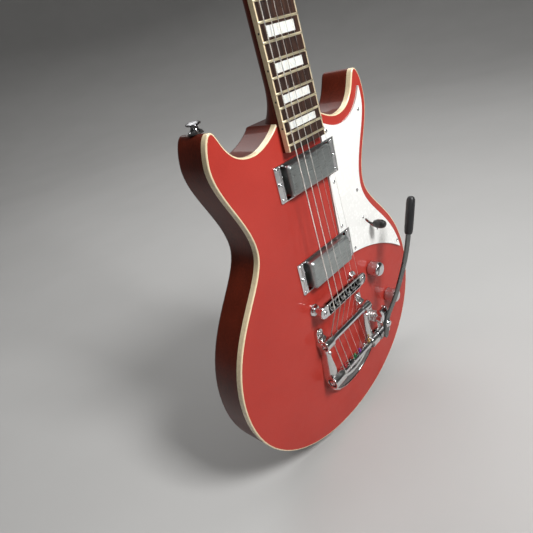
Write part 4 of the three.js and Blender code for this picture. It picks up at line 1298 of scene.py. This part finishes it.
def rim_fittings():
    """Strap buttons, the output jack and the rear cover."""
    half = -BODY_THICKNESS / 2
    button = [(0, 0.9), (6.0, 0.9), (6.3, 0.5), (6.3, 1.6), (5.2, 2.1), (4.0, 3.0), (3.4, 4.2),
              (3.5, 5.2), (4.6, 6.1), (6.2, 6.7), (6.7, 7.2), (6.7, 7.9), (6.1, 8.5), (4.8, 8.9),
              (4.2, 8.8), (3.6, 8.3), (0, 8.2)]
    for name, spot, towards in STRAP_BUTTONS:
        button_screw = screw(spot.x, -spot.y, spot.z + towards[2] * 8.2, 3.1, 0.9, towards)
        piece(f"strap_{name}", turned(button, spot, towards, 48) + button_screw, DARK_CHROME,
              "polished_chrome", nodes=[f"strap_button_{name}"], crease=40)
        felt = turned([(0, -0.6), (6.9, -0.6), (7.1, 0), (6.9, 0.35), (0, 0.35)], spot, towards, 32)
        piece(f"strap_felt_{name}", felt, DARK_PARTS_AND_SHADE, "black_plastic")
    jack = at(157.6, half, JACK_Z)
    flange = [(3.6, 0.4), (3.6, -36), (8.2, -36), (8.2, 0), (10.4, 0), (10.4, 5.4), (9.8, 6.2), (8.8, 6.5),
              (6.4, 6.6)]
    nut_ring = [(6.4, 6.6), (5.2, 6.7), (5.0, 6.2), (4.0, 5.4), (3.6, 4.6)]
    chromed("jack_plate", turned(flange + nut_ring + [(3.6, 0.4)], jack, (1, 0, 0), 48),
            nodes=["output_jack"])
    low = -BODY_THICKNESS
    spots = (across("volume_turn"), across("tone_turn"))
    cover = plate(capsule(*spots, 22.9), low + 0.05, low + 2.0, edges=(0.4, 0), steps=3)
    piece("rear_cover", cover, BLACK, "black_plastic", nodes=["control_cover"])
    middle = (Vector(spots[0]) + Vector(spots[1])) / 2
    along = (Vector(spots[1]) - Vector(spots[0])).normalized()
    side = Vector((-along.y, along.x))
    holes = [Vector(spots[0]) - along * 18, Vector(spots[1]) + along * 18, middle + side * 19,
             middle - side * 19]
    chromed("cover_screws", together(screw(p.x, low + 0.1, p.y, 2.0, 0.5, (0, 1, 0)) for p in holes),
            crease=30)


# ---- Tuners -------------------------------------------------------------------------------------

WORM_OFFSET = 8.4
WORM_HEIGHT = -20
GEAR_TEETH = 14
GEAR_RADIUS = 5.5
WORM = dict(start=20.6, length=9.2, core=1.95, thread=0.35, crests=9, steps=120)
BUTTON = dict(middle=49.8, reach=7.6, half_thickness=4.5, half_width=8.9, waist=0.18, sides=32)


def tuner_ear(x, z):
    """The upright cheek that carries one end of a worm."""
    base = -HEAD_THICKNESS - 1.2
    outline = rounded([(z - 3.6, base), (z - 3.6, base - 7.4), (z + 3.6, base - 7.4), (z + 3.6, base)], 1.4,
                      4)
    return on_side(plate(outline, x - 1, x + 1, edges=(0.2, 0.2), steps=2))


def tuner_plates():
    back = -HEAD_THICKNESS
    for name, side in (("bass", -1), ("treble", 1)):
        strip = plate(rectangle(15.6, 107, 2.5, (side * TUNER_X, 78)), back - 2, back - 0.1,
                      edges=(0.5, 0.2))
        ears = together(tuner_ear(side * x, z - WORM_OFFSET) for z in TUNER_ROWS for x in (18.8, 31.4))
        chromed(f"tuner_strip_{name}", strip + ears, nodes=[f"tuner_plate_{name}"],
                frame_of=HEAD_FRAME)
        screws = together(screw(side * TUNER_X, back - 1.9, z, 1.9, 0.7, (0, 1, 0))
                          for z in (28.5, 57, 97, 128))
        chromed(f"tuner_screws_{name}", screws, crease=30, frame_of=HEAD_FRAME)
    bushing = [(3.2, 0.02), (6, 0.02), (6.4, 0.5), (6.2, 1.1), (5.2, 1.5), (4.9, 2.4), (4.4, 2.8),
               (3.2, 2.8), (3.2, 0.02)]
    bushings = together(turned(bushing, at(x, 0, z), sides=32) for _, x, z in tuner_spots())
    chromed("post_bushings", bushings, frame_of=HEAD_FRAME)


def tuner(number, x, z):
    tuner_post(number, x, z)
    tuner_button(number, x, z)


def tuner_post(number, x, z):
    """The post that the string winds on, with the gear and its screw behind the headstock."""
    gear_rows = [toothed_ring((x, z), GEAR_RADIUS, height, GEAR_TEETH * 8,
                              lambda i: 0.8 if i % 8 > 3 else 0)
                 for height in (-21.9, -18.1)]
    post = turned([(0, -19), (3, -19), (3, 6.4), (2.3, 7.4), (2.2, 8.6), (2.4, 10), (3, 11.4), (3, 17),
                   (2.5, 17.5), (0, 17.6)],
                  at(x, 0, z), sides=32)
    hub_screw = screw(x, -21.8, z, 2.3, 0.8, (0, 1, 0))
    chromed(f"string_post_{number}", loft(gear_rows) + post + hub_screw, body=f"tuner_post_{number}",
            nodes=[f"tuner_post_{number}"], crease=35, frame_of=HEAD_FRAME)


def tuner_button(number, x, z):
    """The worm, its shaft and the button at its end."""
    side = 1 if x > 0 else -1
    spot = at(0, WORM_HEIGHT, z - WORM_OFFSET)
    thread = []
    for i in range(WORM["steps"] + 1):
        share = i / WORM["steps"]
        thread.append((WORM["core"] + WORM["thread"] * math.sin(share * WORM["crests"] * PI) ** 2,
                       WORM["start"] + WORM["length"] * share))
    shank = [(1.9, 30), (1.9, 36), (2.9, 37), (3.1, 39), (2.4, 41), (2.2, 43), (0, 43.4)]
    profile = [(0, 17.6), (1.9, 17.6), (1.9, 20.5)] + thread + shank
    worm = turned(profile, spot, (side, 0, 0), 24)
    rows = []
    for k in range(13):
        angle = PI * k / 12
        reach = BUTTON["middle"] - BUTTON["reach"] * math.cos(angle)
        size = math.sin(angle) ** 0.75 + 0.001
        waist = 1 - BUTTON["waist"] * math.exp(-((angle - 0.55) / 0.4) ** 2)
        rows.append([spot + Vector((side * reach, BUTTON["half_thickness"] * size * math.cos(a),
                                    BUTTON["half_width"] * size * waist * math.sin(a)))
                     for a in full_turn(BUTTON["sides"])])
    chromed(f"button_{number}", worm + loft(rows), body=f"tuner_button_{number}",
            nodes=[f"tuner_button_{number}"], crease=50, frame_of=HEAD_FRAME)


# ---- Strings ------------------------------------------------------------------------------------

POST_WAIST = 2.35
WINDING_TURNS = 3
WINDING_TOP = 8.9


def shaft_lap(x, radius):
    """From the ball end's pin round the back of the shaft."""
    shaft = JOINTS["vibrato_rock"]
    hug = SHAFT_RADIUS + radius + 0.02
    lap = []
    for k in range(25):
        angle = math.radians(-35 - 215 * k / 24)
        slide = 4.0 * max(0, 1 - k / 12)
        lap.append(Vector((x + slide, shaft.y - hug * math.sin(angle), shaft.z + hug * math.cos(angle))))
    return lap


def post_winding(number, radius):
    """Three turns down the post, in the headstock's frame."""
    x, z = next((px, pz) for n, px, pz in tuner_spots() if n == number + 1)
    side = 1 if x > 0 else -1
    gap = POST_WAIST + radius
    steps = 20
    winding = []
    for k in range(WINDING_TURNS * steps + 1):
        angle = PI / 2 + (PI / 2 if side > 0 else -PI / 2) + side * 2 * PI * k / steps
        height = WINDING_TOP - 2.2 * radius * k / steps + 0.8
        winding.append(at(x + gap * math.cos(angle), height, z + gap * math.sin(angle)))
    return winding


def string(number):
    """From its ball end round the shaft, under the roller, over the saddle and the nut, to the post."""
    radius = STRING_GAUGES[number] / 2
    x = string_x(number, BRIDGE_SPACING)
    shaft, roller = JOINTS["vibrato_rock"], JOINTS["roller_spin"]
    to_top = TOP_FRAME.inverted()
    start = Vector((x + PIN_OFFSET, shaft.y - 2.0, shaft.z + 7.2))
    under = at(x, -roller.y - ROLLER_RADIUS - radius - 0.1, roller.z)
    crest_z = BRIDGE_Z + SADDLE_OFFSETS[number]
    crest = at(x, STRING_REST + radius, crest_z)
    approach = at(x, STRING_REST + radius - STRING_APPROACH_DROP, crest_z - STRING_LEVEL_RUN)
    rest = to_top @ BOARD_FRAME @ at(string_x(number, NUT_SPACING), 1.15 + radius, NUT_AT + 1.6)
    wraps = [to_top @ HEAD_FRAME @ place for place in post_winding(number, radius)]
    route = [start] + shaft_lap(x, radius) + [under, approach, crest, rest] + wraps
    wound = number < WOUND_STRINGS
    piece(f"wire_{number + 1}", tube(route, radius, 12), WOUND if wound else STEEL, "steel",
          nodes=[f"string_{number + 1}"], crease=80)


# ---- Stage, light and camera --------------------------------------------------------------------

FLOOR_Z = -192.3
FLOOR_REACH = 2500
SWEEP = 3500
WALL_HEIGHT = 9000


def stage():
    """A floor that sweeps up into a backdrop all round."""
    sides = 72
    profile = [(0, 0), (600, 0), (FLOOR_REACH, 0)]
    for i in range(1, 13):
        angle = PI / 2 * i / 12
        profile.append((FLOOR_REACH + SWEEP * math.sin(angle), SWEEP * (1 - math.cos(angle))))
    profile.append((FLOOR_REACH + SWEEP, WALL_HEIGHT))
    rows = [[Vector((r * math.cos(2 * PI * i / sides), r * math.sin(2 * PI * i / sides), FLOOR_Z + rise))
             for i in range(sides)] for r, rise in profile]
    sheet = mesh_object("floor", loft(rows, capped=False))
    finish_edges(sheet, 0, 60)
    sheet.data.materials.append(floor_paint())


LIT_POINT = (0, -50, 0)


def softbox(name, direction, distance, size, power, target=LIT_POINT):
    """A square lamp a distance from the guitar's middle, facing its target."""
    light = bpy.data.lights.new(name, "AREA")
    light.shape = "RECTANGLE"
    light.size, light.size_y = (s / METRE for s in size)
    light.energy = power
    lamp = bpy.data.objects.new(name, light)
    spot = Vector(LIT_POINT) + Vector(direction).normalized() * distance
    lamp.location = spot / METRE
    lamp.rotation_euler = (Vector(target) - spot).to_track_quat("-Z", "Y").to_euler()
    bpy.context.scene.collection.objects.link(lamp)


def lights():
    bpy.context.scene.view_settings.view_transform = "Standard"
    world = bpy.data.worlds.new("room")
    world.use_nodes = True
    world.node_tree.nodes["Background"].inputs["Color"].default_value = (0.3, 0.3, 0.3, 1)
    world.node_tree.nodes["Background"].inputs["Strength"].default_value = 0.1
    bpy.context.scene.world = world
    softbox("key", (0.05, -0.68, 0.73), 1400, (380, 380), 24)
    softbox("left", (-0.8, -0.5, 0.5), 2600, (300, 1600), 4)
    softbox("back", (0.35, 0.6, 0.72), 3800, (2200, 2200), 36)
    softbox("backdrop", (0.1, 0.1, 0.9), 1900, (1800, 1800), 30, target=(2600, 2600, 300))


CAMERA_PLACE = (-338.4, -338.8, 271.0)
CAMERA_RIGHT = (0.6553, -0.7155, -0.2421)
CAMERA_DOWN = (-0.4816, -0.1487, -0.8637)
CAMERA_LENS = 30.82


def camera():
    lens = bpy.data.cameras.new("photo view")
    lens.lens = CAMERA_LENS
    lens.sensor_width = 36
    lens.clip_start = 0.01
    eye = bpy.data.objects.new("photo view", lens)
    right = Vector(CAMERA_RIGHT).normalized()
    up = -(Vector(CAMERA_DOWN) - right * right.dot(Vector(CAMERA_DOWN))).normalized()
    turn = Matrix((right, up, right.cross(up))).transposed().to_4x4()
    eye.matrix_world = Matrix.Translation(Vector(CAMERA_PLACE) / METRE) @ turn
    bpy.context.scene.collection.objects.link(eye)
    bpy.context.scene.camera = eye


# ---- CAD pieces that keep their own shape -------------------------------------------------------

SLOT_FINISHES = {
    "mahogany": MAHOGANY, "coral_paint": CORAL, "cream_plastic": CREAM, "rosewood": ROSEWOOD,
    "white_plastic": WHITE, "polished_chrome": CHROME, "cast_aluminium": POLISHED, "brushed_nickel": COVERS,
    "steel": STEEL, "black_plastic": BLACK,
}


def finish_cad_pieces():
    for entry in frame["record"]["subparts"]:
        node = frame["nodes"][entry["node"]]
        node.data.materials.clear()
        node.data.materials.append(SLOT_FINISHES[entry["material_slot"]])


finish_cad_pieces()
body()
neck()
fretboard()
nut()
pickguard()
for pickup_name in PICKUPS:
    pickup(pickup_name)
bridge()
vibrato_frame()
roller_bar()
shaft_and_pins()
arm_bracket()
spring()
arm()
for knob_name in ("volume", "tone"):
    knob(knob_name)
selector()
rim_fittings()
tuner_plates()
for spot in tuner_spots():
    tuner(*spot)
for string_number in range(6):
    string(string_number)
stage()
lights()
camera()
